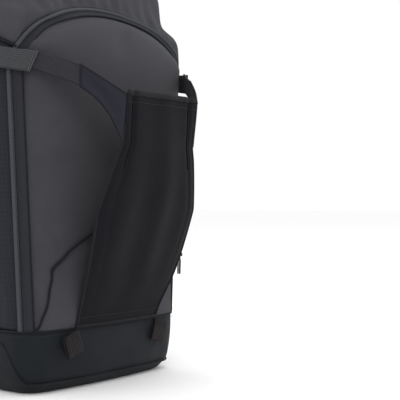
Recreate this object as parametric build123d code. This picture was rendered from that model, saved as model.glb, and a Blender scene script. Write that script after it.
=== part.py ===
from build123d import *
import math
import os

# Ski backpack with a helmet carrier flap. Millimetres, +Z up, standing on its base.
# -Y is the front of the pack, +Y is the side that faces the wearer's back, -X is the wearer's left.
# Origin: middle of the flat underside.

# driving dimensions
wall = 2.5  # sewn panel with its lining and foam
base_seam_z = 66.0  # seam between the coated base and the panels above
lid_seam_front_z = 352.0  # seam between the side panels and the top panel, at the front
lid_seam_back_z = 440.0
back_y = 85.0  # outer face of the back panel
joint_gap = 0.6  # clear gap between the door and the shell around it
tape_thick = 1.2  # zip tape
door_tape_wide = 9.5
shell_tape_wide = 5.5
door_foot_half = 115.0  # half width of the door at the base seam
door_shoulder_half = 129.0  # half width where the straight legs end
door_shoulder_z = 332.0
door_top_z = 405.0
webbing_thick = 1.6
strap_wide = 24.0  # side straps of the helmet carrier
strap_z = 345.0  # their centre height
clear = 0.5  # clearance between pieces that move apart

# plan sections of the shell: height, half width, front, back, bulge of the front, corner radius
sections = [
    (0.0, 106.0, -74.0, 74.0, 8.0, 22.0),
    (14.0, 115.0, -84.0, 82.0, 10.0, 28.0),
    (65.0, 120.0, -87.0, back_y, 12.0, 30.0),
    (370.0, 137.0, -86.0, back_y, 12.0, 34.0),
    (392.0, 133.0, -84.0, back_y, 12.0, 34.0),
    (410.0, 126.0, -70.0, back_y, 10.0, 34.0),
    (443.0, 122.0, -63.0, back_y, 10.0, 34.0),
    (490.0, 108.0, -44.0, 80.0, 9.0, 34.0),
    (512.0, 90.0, -20.0, 68.0, 8.0, 28.0),
    (520.0, 76.0, -6.0, 56.0, 6.0, 22.0),
]


def plan_section(height, half, front, back, bulge, radius, inset):
    half, front, back = half - inset, front + inset, back - inset
    left, right = (-half, front), (half, front)
    outline = Polyline(right, (half, back), (-half, back), left)
    outline += ThreePointArc(left, (0, front - bulge), right)
    face = fillet(make_face(outline).vertices(), radius - inset)
    return Pos(0, 0, height) * face


def envelope(inset):
    faces = []
    for i, (height, *rest) in enumerate(sections):
        end_shift = inset if i == 0 else -inset if i == len(sections) - 1 else 0
        faces.append(plan_section(height + end_shift, *rest, inset))
    return loft(faces, ruled=True)


def slab(x0, x1, y0, y1, z0, z1):
    return Pos((x0 + x1) / 2, (y0 + y1) / 2, (z0 + z1) / 2) * Box(x1 - x0, y1 - y0, z1 - z0)


def door_prism(grow, foot_z):
    # arch seen from the front: straight legs that lean out a little, round shoulders and a shallow crown
    lean = (door_shoulder_half - door_foot_half) / (door_shoulder_z - base_seam_z)
    foot = door_foot_half + grow - lean * (base_seam_z - foot_z)
    side = door_shoulder_half + grow
    crown_x, crown_z = door_shoulder_half - 31 + grow * 0.6, door_top_z - 23 + grow * 0.9
    knee = (side - 9, door_shoulder_z + 30 + grow * 0.4)
    top = (0, door_top_z + grow)
    outline = Line((-foot, foot_z), (foot, foot_z)) + Line((foot, foot_z), (side, door_shoulder_z))
    outline += ThreePointArc((side, door_shoulder_z), knee, (crown_x, crown_z))
    outline += ThreePointArc((crown_x, crown_z), top, (-crown_x, crown_z))
    outline += ThreePointArc((-crown_x, crown_z), (-knee[0], knee[1]), (-side, door_shoulder_z))
    outline += Line((-side, door_shoulder_z), (-foot, foot_z))
    return extrude(Plane.XZ * make_face(outline), amount=140, both=False)


def write(name, shape):
    export_step(shape, "parts/" + name + ".step")


def both_sides(name, right_shape):
    write(name + "_right", right_shape)
    write(name + "_left", mirror(right_shape, about=Plane.YZ))




def half_at(height):
    # half width of the shell on its long straight stretch
    low, high = sections[2], sections[3]
    return low[1] + (high[1] - low[1]) * (height - low[0]) / (high[0] - low[0])


def ribbon(start, end, start_wide, end_wide, thick):
    # flat strap on edge between two points: wide up and down, thin across
    run = Vector(end[0] - start[0], end[1] - start[1], 0).normalized()
    across = Vector(-run.Y, run.X, 0)
    faces = []
    for point, wide in ((start, start_wide), (end, end_wide)):
        faces.append(Plane(origin=point, x_dir=across, z_dir=run) * Rectangle(thick, wide))
    return loft(faces, ruled=True)


def flat_strap(start, end, wide, thick):
    # flat strap between two points with its width along X as far as it can
    run = (Vector(*end) - Vector(*start))
    side = run.normalized().cross(Vector(0, 0, 1)) if abs(run.X) > 5 else Vector(1, 0, 0)
    plane = Plane(origin=start, x_dir=side, z_dir=run.normalized())
    return extrude(plane * Rectangle(wide, thick), amount=run.length)


def swept(points, radius, plane, wide_dir, wide, thick):
    # strap or pad that follows a flat path with rounded turns
    path = plane * FilletPolyline(*points, radius=radius)
    start = Plane(origin=path @ 0, x_dir=wide_dir, z_dir=path % 0)
    return sweep(start * Rectangle(wide, thick), path=path)


def buckle_female(long, wide, thick):
    # socket of a side release buckle: two plates, open at both edges, joined by a bridge at the webbing end
    plate = thick * 0.22
    shape = Box(long, wide, thick) - Pos(-long * 0.13, 0, 0) * Box(long * 0.75, wide + 2, thick - 2 * plate)
    return shape - Pos(long * 0.42, 0, 0) * Box(long * 0.07, wide * 0.82, thick + 2)


def buckle_male(long, wide, thick):
    # tongue of the buckle: two springy prongs and a middle guide on a bar that holds the webbing
    body = Pos(-long * 0.34, 0, 0) * Box(long * 0.32, wide, thick)
    body -= Pos(-long * 0.40, 0, 0) * Box(long * 0.09, wide * 0.82, thick + 2)
    guide = Pos(long * 0.12, 0, 0) * Box(long * 0.6, wide * 0.12, thick)
    prongs = [Pos(long * 0.16, s * wide * 0.38, 0) * Box(long * 0.68, wide * 0.13, thick) for s in (1, -1)]
    return body + guide + prongs


def ladder_lock(long, wide, thick):
    frame = Box(long, wide, thick)
    for shift in (-0.22, 0.22):
        frame -= Pos(long * shift, 0, 0) * Box(long * 0.24, wide * 0.8, thick + 2)
    return frame


def zip_slider():
    # long axis along local X, up is away from the tape, pull pin at the +X end
    body = fillet(Box(16, 10, 5).edges().filter_by(Axis.Z), 2.5)
    lugs = [Pos(6, s * 4.2, 5) * Box(4, 1.4, 6) for s in (1, -1)]
    pin = Pos(6, 0, slider_pin_up - 2.5) * Rot(90, 0, 0) * Cylinder(0.9, 8)
    return Pos(0, 0, 2.5) * (body + lugs + pin)


def zip_puller():
    # eye round the pin, narrow neck between the lugs, then the tab, all along local -X
    bore = Rot(90, 0, 0) * Cylinder(1.3, 12)
    eye = Rot(90, 0, 0) * Cylinder(2.4, 5)
    neck = Pos(-4, 0, 0) * Box(5, 5, 2)
    tab = Pos(-14.5, 0, 0) * fillet(Box(18, 9, 2).edges().filter_by(Axis.Z), 2)
    return eye + neck + tab - bore - Pos(-18.5, 0, 0) * Cylinder(1.6, 4)


def on_plane(shape, origin, x_dir, z_dir):
    return Plane(origin=origin, x_dir=x_dir, z_dir=z_dir) * shape


slider_pin_up = 8.0  # pull pin above the underside of a slider
slider_clear = 0.6  # slider above the tape

os.makedirs("parts", exist_ok=True)

# shell of sewn panels, split at its seams
outer = envelope(0)
shell = outer - envelope(wall)
door_zone = door_prism(0, base_seam_z + joint_gap / 2)
door_hole = door_prism(joint_gap, base_seam_z - joint_gap / 2)
base_zone = slab(-200, 200, -200, 200, -10, base_seam_z - joint_gap / 2)
lid_rise = lid_seam_back_z - lid_seam_front_z
lid_run = 2 * back_y
lid_zone = on_plane(Pos(0, 0, 200) * Box(500, 900, 400), (0, -back_y, lid_seam_front_z), (1, 0, 0),
                    (0, -lid_rise, lid_run))
back_zone = slab(-86, 86, 70, 110, 0, 600)
upper = shell - base_zone - door_hole
flanks = upper - lid_zone - back_zone
write("front_panel", shell & door_zone)
write("base_panel", shell & base_zone)
write("top_panel", upper & lid_zone)
write("back_panel", (upper & back_zone) - lid_zone)
write("side_panel_right", flanks & slab(0, 200, -200, 200, 0, 600))
write("side_panel_left", flanks & slab(-200, 0, -200, 200, 0, 600))

# door zip: two tapes in a U, one on the door and one on the shell round it
tape_layer = envelope(-tape_thick) - outer
above_seam = slab(-200, 200, -200, -50, base_seam_z + joint_gap / 2, 600)
door_tape = tape_layer & (door_zone - door_prism(-door_tape_wide, 0)) & above_seam
shell_tape = tape_layer & (door_prism(joint_gap + shell_tape_wide, 0) - door_hole) & above_seam
write("zip_tape_door", door_tape)
write("zip_tape_shell", shell_tape)

# stow pocket for the helmet flap, on the foot of the door
pocket_thick = 3.0
pocket_half, pocket_side_half, pocket_side_z, pocket_top_z = 100.0, 94.0, 128.0, 176.0
pocket_foot_z = 67.0
pocket_left, pocket_right = (-pocket_side_half, pocket_side_z), (pocket_side_half, pocket_side_z)
pocket_line = Polyline(pocket_left, (-pocket_half, pocket_foot_z), (pocket_half, pocket_foot_z), pocket_right)
pocket_line += ThreePointArc(pocket_right, (0, pocket_top_z), pocket_left)
pocket_zone = extrude(Plane.XZ * make_face(pocket_line), amount=140)
write("stow_pocket", (envelope(-pocket_thick) - outer) & pocket_zone)

# sliders: they meet nose to nose on the right leg, and each runs along it


def leg_seat(height):
    # point and outward direction on the panels where the right leg of the zip passes this height
    lean = (door_shoulder_half - door_foot_half) / (door_shoulder_z - base_seam_z)
    across = door_foot_half + lean * (height - base_seam_z)
    return outer.find_intersection_points(Axis((across, -300, height), (0, 1, 0)))[0]


leg_low_z, leg_high_z = 150.0, 325.0
leg_point, leg_out = leg_seat(leg_low_z)
leg_dir = (leg_seat(leg_high_z)[0] - leg_point).normalized()
leg_out = (leg_out - leg_dir * leg_out.dot(leg_dir)).normalized()
if leg_out.Y > 0:
    leg_out = leg_out * -1
slider_half_pitch = 9.5
for name, sense in (("upper", 1), ("lower", -1)):
    seat = leg_point + leg_dir * (sense * slider_half_pitch) + leg_out * (tape_thick + slider_clear)
    write("zip_slider_" + name, on_plane(zip_slider(), seat, leg_dir * sense, leg_out))
    pin = seat + leg_dir * (sense * 6) + leg_out * slider_pin_up
    write("zip_puller_" + name, on_plane(zip_puller(), pin, leg_dir, leg_out))
    print("puller pin", name, pin)
print("leg axis", leg_dir, "pin axis", leg_out.cross(leg_dir))

# top pocket zip on the flat of the top panel
top_z, top_zip_y = 520.0, 29.0
write("top_zip_tape", slab(-62, 62, top_zip_y - 7, top_zip_y + 7, top_z, top_z + tape_thick))
seat = Vector(-54, top_zip_y, top_z + tape_thick + slider_clear)
write("top_zip_slider", on_plane(zip_slider(), seat, (-1, 0, 0), (0, 0, 1)))
pin = seat + Vector(-6, 0, slider_pin_up)
write("top_zip_puller", on_plane(zip_puller(), pin, (-1, 0, 0), (0, 0, 1)))
print("top pin", pin)

# helmet carrier: flap stands proud of the door on its two side straps
flap_thick = 2.0
flap_root = (-104.0, 73.0)
flap_top = (-166.0, 306.0)
flap_half = 56.0
flap_arc = ThreePointArc(flap_root, (-148.0, 185.0), flap_top)
flap_sheet = sweep(Plane(origin=(-90, *flap_root), x_dir=(1, 0, 0), z_dir=(Plane.YZ * flap_arc) % 0)
                   * Pos(90, 0, 0) * Rectangle(180, flap_thick), path=Plane.YZ * flap_arc)
flap_outline = Polyline((-60, 60), (60, 60), (70, 120), (76, 190), (61, 244), (flap_half, 258), (flap_half, 320),
                        (-flap_half, 320), (-flap_half, 258), (-61, 244), (-76, 190), (-70, 120), close=True)
write("helmet_flap", flap_sheet & extrude(Plane.XZ * make_face(flap_outline), amount=240))
hem_y, hem_z = flap_top
write("flap_hem", slab(-flap_half, flap_half, hem_y - 2.4, hem_y + 2.4, hem_z + 0.6, hem_z + 7))
elastic_end = (88.0, -130.0, 325.0)
strap_end = (120.5, -94.5, strap_z - 2)
wing_start, wing_end = (87.6, -130.5, 325.0), (flap_half + 1.5, -164.5, 283.0)
both_sides("flap_wing", ribbon(wing_start, wing_end, 22, 50, flap_thick))
both_sides("elastic_strap", ribbon((120.0, -95.2, strap_z - 4), elastic_end, 20, 22, webbing_thick))
buckle_x = half_at(strap_z) + 6.0
buckle_y = 4.0  # where the webbing enters the tongue
buckle_long, buckle_wide, buckle_thick = 34.0, 30.0, 8.0
strap_path = [(buckle_x, buckle_y - 12), (buckle_x, -66), (strap_end[0], strap_end[1])]
level = Plane(origin=(0, 0, strap_z))
both_sides("side_strap", swept(strap_path, 20, level, (0, 0, 1), strap_wide, webbing_thick))
male = buckle_male(buckle_long, buckle_wide * 0.9, buckle_thick * 0.4)
both_sides("strap_buckle_male", on_plane(male, (buckle_x, buckle_y + 5.6, strap_z), (0, 1, 0), (1, 0, 0)))
female = buckle_female(buckle_long, buckle_wide, buckle_thick)
both_sides("strap_buckle_female", on_plane(female, (buckle_x, buckle_y + 22, strap_z), (0, 1, 0), (1, 0, 0)))
anchors = [slab(s * (buckle_x - 2.8) - 0.8, s * (buckle_x - 2.8) + 0.8, 43.6, 78, strap_z - 12, strap_z + 12)
           for s in (1, -1)]
write("strap_anchors", Compound(anchors) - outer)

# folded webbing loops at the base seam, for ski tails and axes
loop_mid = (68.0, -100.5, 50.0)
loop_box = Box(22, 5.5, 26) - Box(24, 2.2, 21)
both_sides("tool_loop", (Pos(*loop_mid) * Rot(0, 18, 0) * loop_box) - outer)

# frame: stiff sheet against the back panel, two stays on it, and the sleeve for shovel and probe
write("frame_sheet", slab(-86, 86, 79.7, 82.0, 70, 424))
write("frame_stays", Compound([slab(s * 55 - 6, s * 55 + 6, 76.5, 79.6, 78, 416) for s in (1, -1)]))
write("tool_sleeve", slab(-84, 84, 73.8, 76.2, 70, 320))

# back system
pad_thick = 14.0
pad = fillet(Box(64, pad_thick, 246).edges().filter_by(Axis.Y), 18)
pad = Pos(55, back_y + 0.2 + pad_thick / 2, 298) * pad
both_sides("back_pad", pad)
lumbar = fillet(Box(168, 18, 92).edges().filter_by(Axis.Y), 22)
write("lumbar_pad", Pos(0, back_y + 0.2 + 9, 120) * lumbar)

# shoulder harness
strap_x, shoulder_wide, shoulder_thick = 62.0, 58.0, 14.0
shoulder_path = [(92, 437), (118, 476), (172, 452), (188, 380), (188, 250), (152, 202)]
both_sides("shoulder_strap", Pos(strap_x, 0, 0) * swept(shoulder_path, 24, Plane.YZ, (1, 0, 0), shoulder_wide,
                                                       shoulder_thick))
both_sides("load_lifter", flat_strap((strap_x, 80, 489), (strap_x, 137, 479.4), 20, webbing_thick) - outer)
lifter_dir, lifter_up = (0, 62, -22), (0, 22, 62)
both_sides("load_lifter_lock", on_plane(ladder_lock(22, 28, 4), (strap_x, 149, 475.0), lifter_dir, lifter_up))
both_sides("lower_webbing", flat_strap((73.5, 126, 178), (106, 94, 151), 20, webbing_thick))
both_sides("ladder_lock", on_plane(ladder_lock(24, 30, 5), (66, 140, 190), (-0.3, 0.62, 0.72), (1, 0.4, 0.1)))

# sternum strap rides on two rails, one on each shoulder strap
rail_y = 188 + shoulder_thick / 2
sternum_z = 312.0
rails = [slab(s * strap_x - 4, s * strap_x + 4, rail_y + 0.2, rail_y + 2.4, 262, 362) for s in (1, -1)]
write("sternum_rails", Compound(rails))
glide = Box(18, 7, 20) - Pos(0, -1.8, 0) * Box(9.2, 3.6, 24)
write("sternum_glides", Compound([Pos(s * strap_x, rail_y + 4.4, sternum_z) * glide for s in (1, -1)]))
web_y = rail_y + 4.4
web_ends = [(20.4, strap_x - 9.2), (9.2 - strap_x, -18.4)]  # from buckle to glide on each side
webs = [slab(start, end, web_y - 0.8, web_y + 0.8, sternum_z - 9, sternum_z + 9) for start, end in web_ends]
write("sternum_webbing", Compound(webs))
small_male = buckle_male(26, 20, 2.8)
small_female = buckle_female(26, 22, 7)
write("sternum_buckle", Compound([on_plane(small_male, (7, web_y, sternum_z), (-1, 0, 0), (0, 1, 0)),
                                  on_plane(small_female, (-5, web_y, sternum_z), (-1, 0, 0), (0, 1, 0))]))

# hip belt
hip_z, hip_high = 100.0, 76.0
wing_path = [(106, 97), (134, 104), (146, 140), (152, 215)]
both_sides("hip_wing", swept(wing_path, 24, Plane(origin=(0, 0, hip_z)), (0, 0, 1), hip_high, 10))
belt_dir = Vector(6, 75, 0).normalized()
belt_out = Vector(belt_dir.Y, -belt_dir.X, 0)
belt_start = Vector(152, 215, hip_z) - belt_dir * 50 + belt_out * 6.2
belt_end = belt_start + belt_dir * 98
both_sides("hip_webbing", ribbon(tuple(belt_start), tuple(belt_end), 38, 38, webbing_thick))
hip_female = buckle_female(44, 46, 10)
hip_male = Pos(0, 0, 3.8) * buckle_male(50, 42, 4.4)  # the loose end of the webbing runs under its plate
hip_male += Pos(-26, 0, 0.9) * Box(18, 48, 10.2) - Pos(-26, 0, 0) * Box(20, 39.4, 3)
hip_female = on_plane(hip_female, belt_end + belt_dir * 23, belt_dir * -1, belt_out)
write("hip_buckle_female_left", mirror(hip_female, about=Plane.YZ))
write("hip_buckle_male_right", on_plane(hip_male, belt_end + belt_dir * 26, belt_dir, belt_out))
print("belt", belt_start, belt_end, belt_dir)

# haul loop on two sewn tabs
handle_y, handle_z, handle_half = 84.0, 500.0, 40.0
handle_path = [(-handle_half, handle_z + clear), (-handle_half + 9, 530), (handle_half - 9, 530),
               (handle_half, handle_z + clear)]
write("grab_handle", swept(handle_path, 14, Plane(origin=(0, handle_y, 0), x_dir=(1, 0, 0), z_dir=(0, -1, 0)),
                           (0, 1, 0), 10, 3))
tabs = [slab(s * handle_half - 6, s * handle_half + 6, 60, 90, 489, handle_z - 5.2) for s in (1, -1)]
write("handle_tabs", Compound(tabs) - outer)
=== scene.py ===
import math
import bpy
import bmesh
import numpy as np
from mathutils import Vector, Matrix, noise
from mathutils.bvhtree import BVHTree


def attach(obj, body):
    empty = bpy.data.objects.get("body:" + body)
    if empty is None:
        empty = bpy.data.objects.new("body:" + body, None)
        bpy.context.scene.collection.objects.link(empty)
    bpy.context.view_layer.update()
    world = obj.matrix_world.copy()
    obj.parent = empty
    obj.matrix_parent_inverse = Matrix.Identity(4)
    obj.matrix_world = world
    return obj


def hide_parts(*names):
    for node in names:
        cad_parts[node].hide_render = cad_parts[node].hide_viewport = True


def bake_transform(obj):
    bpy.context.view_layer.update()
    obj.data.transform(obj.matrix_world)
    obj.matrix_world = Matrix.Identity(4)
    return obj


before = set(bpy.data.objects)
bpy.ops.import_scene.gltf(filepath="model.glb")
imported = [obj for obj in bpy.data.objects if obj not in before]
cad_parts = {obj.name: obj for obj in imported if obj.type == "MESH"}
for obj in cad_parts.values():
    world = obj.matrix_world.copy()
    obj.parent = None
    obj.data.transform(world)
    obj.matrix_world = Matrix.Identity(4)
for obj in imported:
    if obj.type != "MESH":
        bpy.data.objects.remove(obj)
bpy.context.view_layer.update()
bothSides = (("Right", 1), ("Left", -1))
print("frame loaded:", len(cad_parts), "nodes")


# camera, light and floor

studio = {
    "eye": (-0.7588, -0.8076, 0.200), "lookAlong": (0.788, 0.616, 0.0), "lens": 85.05, "floorHalf": 14.0,
    "floorColor": (0.97, 0.97, 0.97, 1), "worldColor": (1, 1, 1, 1), "worldStrength": 1.0,
    "lights": [
        ("keyLight", (-1.9, -2.3, 2.2), 1.6, 31.0),
        ("fillLight", (2.4, -1.8, 1.5), 2.0, 12.0),
        ("backLight", (0.6, 2.4, 2.0), 2.0, 12.0),
        ("topLight", (-0.2, -0.2, 2.8), 1.6, 12.0),
    ],
}


def makeStudio(s):
    bpy.ops.object.select_all(action="DESELECT")
    bpy.ops.mesh.primitive_plane_add(size=2 * s["floorHalf"])
    floor = bpy.context.object
    floor.name = "studioFloor"
    paint = bpy.data.materials.new("floorPaint")
    paint.use_nodes = True
    shader = paint.node_tree.nodes["Principled BSDF"]
    shader.inputs["Base Color"].default_value = s["floorColor"]
    shader.inputs["Roughness"].default_value = 0.9
    floor.data.materials.append(paint)
    world = bpy.data.worlds.new("studioWorld")
    bpy.context.scene.world = world
    world.use_nodes = True
    world.node_tree.nodes["Background"].inputs["Color"].default_value = s["worldColor"]
    world.node_tree.nodes["Background"].inputs["Strength"].default_value = s["worldStrength"]
    aim = Vector((0, 0, 0.25))
    for name, place, size, power in s["lights"]:
        bpy.ops.object.light_add(type="AREA", location=place)
        light = bpy.context.object
        light.name = name
        light.data.size = size
        light.data.energy = power
        light.rotation_euler = (aim - Vector(place)).to_track_quat("-Z", "Y").to_euler()
    bpy.ops.object.camera_add(location=s["eye"])
    camera = bpy.context.object
    camera.rotation_euler = Vector(s["lookAlong"]).to_track_quat("-Z", "Y").to_euler()
    camera.data.lens = s["lens"]
    camera.data.sensor_width = 36.0
    camera.data.clip_start = 0.01
    bpy.context.scene.camera = camera
    bpy.context.scene.view_settings.view_transform = "Standard"


makeStudio(studio)
print("studio made")


# shader helpers and shared effects

def newGroup(name, inputs, outputs):
    tree = bpy.data.node_groups.new(name, "ShaderNodeTree")
    for label, kind, value in inputs:
        socket = tree.interface.new_socket(name=label, in_out="INPUT", socket_type=kind)
        if value is not None:
            socket.default_value = value
    for label, kind in outputs:
        tree.interface.new_socket(name=label, in_out="OUTPUT", socket_type=kind)
    return tree, tree.nodes.new("NodeGroupInput"), tree.nodes.new("NodeGroupOutput")


def fillInputs(tree, node, inputs):
    # a socket is linked, anything else is set as the input's own value
    for key, value in inputs.items():
        if hasattr(value, "is_linked"):
            tree.links.new(value, node.inputs[key])
        else:
            node.inputs[key].default_value = value
    return node


def addNode(tree, kind, inputs=None, **settings):
    node = tree.nodes.new(kind)
    for key, value in settings.items():
        setattr(node, key, value)
    return fillInputs(tree, node, inputs or {})


def mathNode(tree, operation, a, b=0.0, clamp=False):
    node = addNode(tree, "ShaderNodeMath", {0: a, 1: b}, operation=operation)
    node.use_clamp = clamp
    return node.outputs[0]


def weaveGroup():
    # plain weave: two sets of rounded threads, over and under in turn
    tree, fromUser, toUser = newGroup(
        "plainWeave", [("Vector", "NodeSocketVector", None), ("Threads", "NodeSocketFloat", 1200.0)],
        [("Height", "NodeSocketFloat"), ("Warp", "NodeSocketFloat")])
    split = addNode(tree, "ShaderNodeSeparateXYZ", {0: fromUser.outputs["Vector"]})
    waves = []
    for axis in ("X", "Y", "Z"):
        turns = mathNode(tree, "MULTIPLY", split.outputs[axis], fromUser.outputs["Threads"])
        waves.append(mathNode(tree, "SINE", mathNode(tree, "MULTIPLY", turns, math.pi)))
    flat = mathNode(tree, "MULTIPLY", waves[0], waves[1])
    upright = mathNode(tree, "MULTIPLY", waves[2], mathNode(tree, "ADD", waves[0], waves[1]))
    cross = mathNode(tree, "ADD", flat, upright)
    tree.links.new(mathNode(tree, "ABSOLUTE", cross), toUser.inputs["Height"])
    tree.links.new(mathNode(tree, "GREATER_THAN", cross, 0.0), toUser.inputs["Warp"])
    return tree


def ripstopGroup():
    # raised grid of doubled threads every few millimetres
    tree, fromUser, toUser = newGroup(
        "ripstopGrid", [("Vector", "NodeSocketVector", None), ("Pitch", "NodeSocketFloat", 0.005),
                        ("Width", "NodeSocketFloat", 0.12)], [("Line", "NodeSocketFloat")])
    split = addNode(tree, "ShaderNodeSeparateXYZ", {0: fromUser.outputs["Vector"]})
    lines = []
    for axis in ("X", "Y"):
        turns = mathNode(tree, "DIVIDE", split.outputs[axis], fromUser.outputs["Pitch"])
        near = mathNode(tree, "PINGPONG", turns, 0.5)
        lines.append(mathNode(tree, "LESS_THAN", near, fromUser.outputs["Width"]))
    tree.links.new(mathNode(tree, "MAXIMUM", lines[0], lines[1]), toUser.inputs["Line"])
    return tree


def mixColors(tree, blend, share, first, second):
    inputs = {0: share, 6: first, 7: second}
    return addNode(tree, "ShaderNodeMix", inputs, data_type="RGBA", blend_type=blend).outputs[2]


def heatherGroup():
    # fine uneven yarn tone, soft fading and dust
    tree, fromUser, toUser = newGroup(
        "yarnTone", [("Vector", "NodeSocketVector", None), ("Color", "NodeSocketColor", (0.05, 0.05, 0.05, 1)),
                     ("Fleck", "NodeSocketFloat", 0.25), ("Fade", "NodeSocketFloat", 0.12)],
        [("Color", "NodeSocketColor"), ("Tone", "NodeSocketFloat")])
    shifts = []
    for label, scale, detail in (("Fleck", 900.0, 2.0), ("Fade", 14.0, 3.0)):
        cloud = addNode(tree, "ShaderNodeTexNoise", {"Vector": fromUser.outputs["Vector"], "Scale": scale,
                                                     "Detail": detail})
        centred = mathNode(tree, "SUBTRACT", cloud.outputs["Fac"], 0.5)
        shifts.append(mathNode(tree, "MULTIPLY", centred, fromUser.outputs[label]))
    both = mathNode(tree, "ADD", shifts[0], shifts[1])
    tone = mathNode(tree, "ADD", 1.0, mathNode(tree, "MULTIPLY", both, 2.0))
    grey = addNode(tree, "ShaderNodeCombineColor", {0: tone, 1: tone, 2: tone})
    mixed = mixColors(tree, "MULTIPLY", 1.0, fromUser.outputs["Color"], grey.outputs[0])
    tree.links.new(mixed, toUser.inputs["Color"])
    tree.links.new(tone, toUser.inputs["Tone"])
    return tree


webbingYarn = {"pitch": 0.0011, "height": 0.45, "selvedge": 0.43}


def ribGroup():
    # webbing: ribs along the strap, crossed by fine yarns, and two darker selvedges, on its own map in metres
    tree, fromUser, toUser = newGroup(
        "webbingRibs", [("Vector", "NodeSocketVector", None), ("Pitch", "NodeSocketFloat", 0.0016),
                        ("Wide", "NodeSocketFloat", 0.024)],
        [("Height", "NodeSocketFloat"), ("Selvedge", "NodeSocketFloat")])
    split = addNode(tree, "ShaderNodeSeparateXYZ", {0: fromUser.outputs["Vector"]})
    waves = []
    for axis, pitch in (("Y", fromUser.outputs["Pitch"]), ("X", webbingYarn["pitch"])):
        turns = mathNode(tree, "MULTIPLY", mathNode(tree, "DIVIDE", split.outputs[axis], pitch), math.pi)
        waves.append(mathNode(tree, "ABSOLUTE", mathNode(tree, "SINE", turns)))
    height = mathNode(tree, "ADD", waves[0], mathNode(tree, "MULTIPLY", waves[1], webbingYarn["height"]))
    share = mathNode(tree, "DIVIDE", split.outputs["Y"], fromUser.outputs["Wide"])
    aside = mathNode(tree, "ABSOLUTE", mathNode(tree, "SUBTRACT", share, 0.5))
    edge = mathNode(tree, "GREATER_THAN", aside, webbingYarn["selvedge"])
    tree.links.new(height, toUser.inputs["Height"])
    tree.links.new(edge, toUser.inputs["Selvedge"])
    return tree


groups = {"weave": weaveGroup(), "ripstop": ripstopGroup(), "yarn": heatherGroup(), "ribs": ribGroup()}


clothGloss, hardGloss = 0.14, 0.5    # specular level of fabric and of plastic or metal


def startMaterial(name, roughness, sheen=0.0, metallic=0.0, specular=clothGloss):
    material = bpy.data.materials.new(name)
    material.use_nodes = True
    tree = material.node_tree
    shader = fillInputs(tree, tree.nodes["Principled BSDF"], {
        "Roughness": roughness, "Sheen Weight": sheen, "Sheen Roughness": 0.45, "Metallic": metallic,
        "Specular IOR Level": specular})
    return material, tree, shader, addNode(tree, "ShaderNodeTexCoord")


def placeGroup(tree, key, inputs):
    node = tree.nodes.new("ShaderNodeGroup")
    node.node_tree = groups[key]
    return fillInputs(tree, node, inputs)


def yarnColor(tree, coords, color, fleck, fade):
    inputs = {"Vector": coords.outputs["Object"], "Color": (*color, 1), "Fleck": fleck, "Fade": fade}
    return placeGroup(tree, "yarn", inputs)


def bumpInto(tree, shader, height, distance):
    bump = addNode(tree, "ShaderNodeBump", {"Height": height, "Distance": distance, "Strength": 1.0})
    tree.links.new(bump.outputs["Normal"], shader.inputs["Normal"])


def clothMaterial(name, color, threads, bump, roughness, sheen, fleck=0.25, fade=0.14, ripstop=0.0,
                  useMap=True):
    # threads is the number per metre; ripstop is the pitch of its grid
    material, tree, shader, coords = startMaterial(name, roughness, sheen)
    where = coords.outputs["UV" if useMap else "Object"]
    yarn = yarnColor(tree, coords, color, fleck, fade)
    weave = placeGroup(tree, "weave", {"Vector": where, "Threads": threads})
    tint, height = yarn.outputs["Color"], weave.outputs["Height"]
    if ripstop:
        grid = placeGroup(tree, "ripstop", {"Vector": where, "Pitch": ripstop, "Width": 0.10})
        shade = mathNode(tree, "MULTIPLY", grid.outputs["Line"], 0.22)
        tint = mixColors(tree, "MIX", shade, tint, (*(2.2 * part for part in color), 1))
        height = mathNode(tree, "ADD", height, mathNode(tree, "MULTIPLY", grid.outputs["Line"], 0.8))
    rough = mathNode(tree, "MULTIPLY", yarn.outputs["Tone"], roughness, clamp=True)
    fillInputs(tree, shader, {"Base Color": tint, "Roughness": rough})
    bumpInto(tree, shader, height, bump)
    return material


def webbingMaterial(name, color, wide=0.024, pitch=0.0022, bump=0.0005):
    material, tree, shader, coords = startMaterial(name, 0.72, 0.05)
    yarn = yarnColor(tree, coords, color, 0.3, 0.1)
    ribs = placeGroup(tree, "ribs", {"Vector": coords.outputs["UV"], "Pitch": pitch, "Wide": wide})
    # painted shade: the grooves between the ribs are darkened towards grey in the base colour
    between = mathNode(tree, "SUBTRACT", 1.0, ribs.outputs["Height"], clamp=True)
    grooveShadedColor = mixColors(tree, "MULTIPLY", mathNode(tree, "MULTIPLY", between, 0.75), yarn.outputs["Color"],
                        (0.35, 0.35, 0.37, 1))
    edged = mixColors(tree, "MULTIPLY", mathNode(tree, "MULTIPLY", ribs.outputs["Selvedge"], 0.5), grooveShadedColor,
                      (0.45, 0.45, 0.47, 1))
    tree.links.new(edged, shader.inputs["Base Color"])
    bumpInto(tree, shader, ribs.outputs["Height"], bump)
    return material


def hardMaterial(name, color, roughness, metallic=0.0, grain=0.00006):
    material, tree, shader, coords = startMaterial(name, roughness, 0.0, metallic, hardGloss)
    yarn = yarnColor(tree, coords, color, 0.08, 0.12)
    where = coords.outputs["Object"]
    spark = addNode(tree, "ShaderNodeTexNoise", {"Vector": where, "Scale": 2600.0, "Detail": 2.0})
    scuff = addNode(tree, "ShaderNodeTexNoise", {"Vector": where, "Scale": 60.0, "Detail": 4.0})
    scuffed = mathNode(tree, "MULTIPLY", scuff.outputs["Fac"], 0.18)
    rough = mathNode(tree, "ADD", roughness - 0.08, scuffed, clamp=True)
    fillInputs(tree, shader, {"Base Color": yarn.outputs["Color"], "Roughness": rough})
    bumpInto(tree, shader, spark.outputs["Fac"], grain)
    return material


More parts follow.
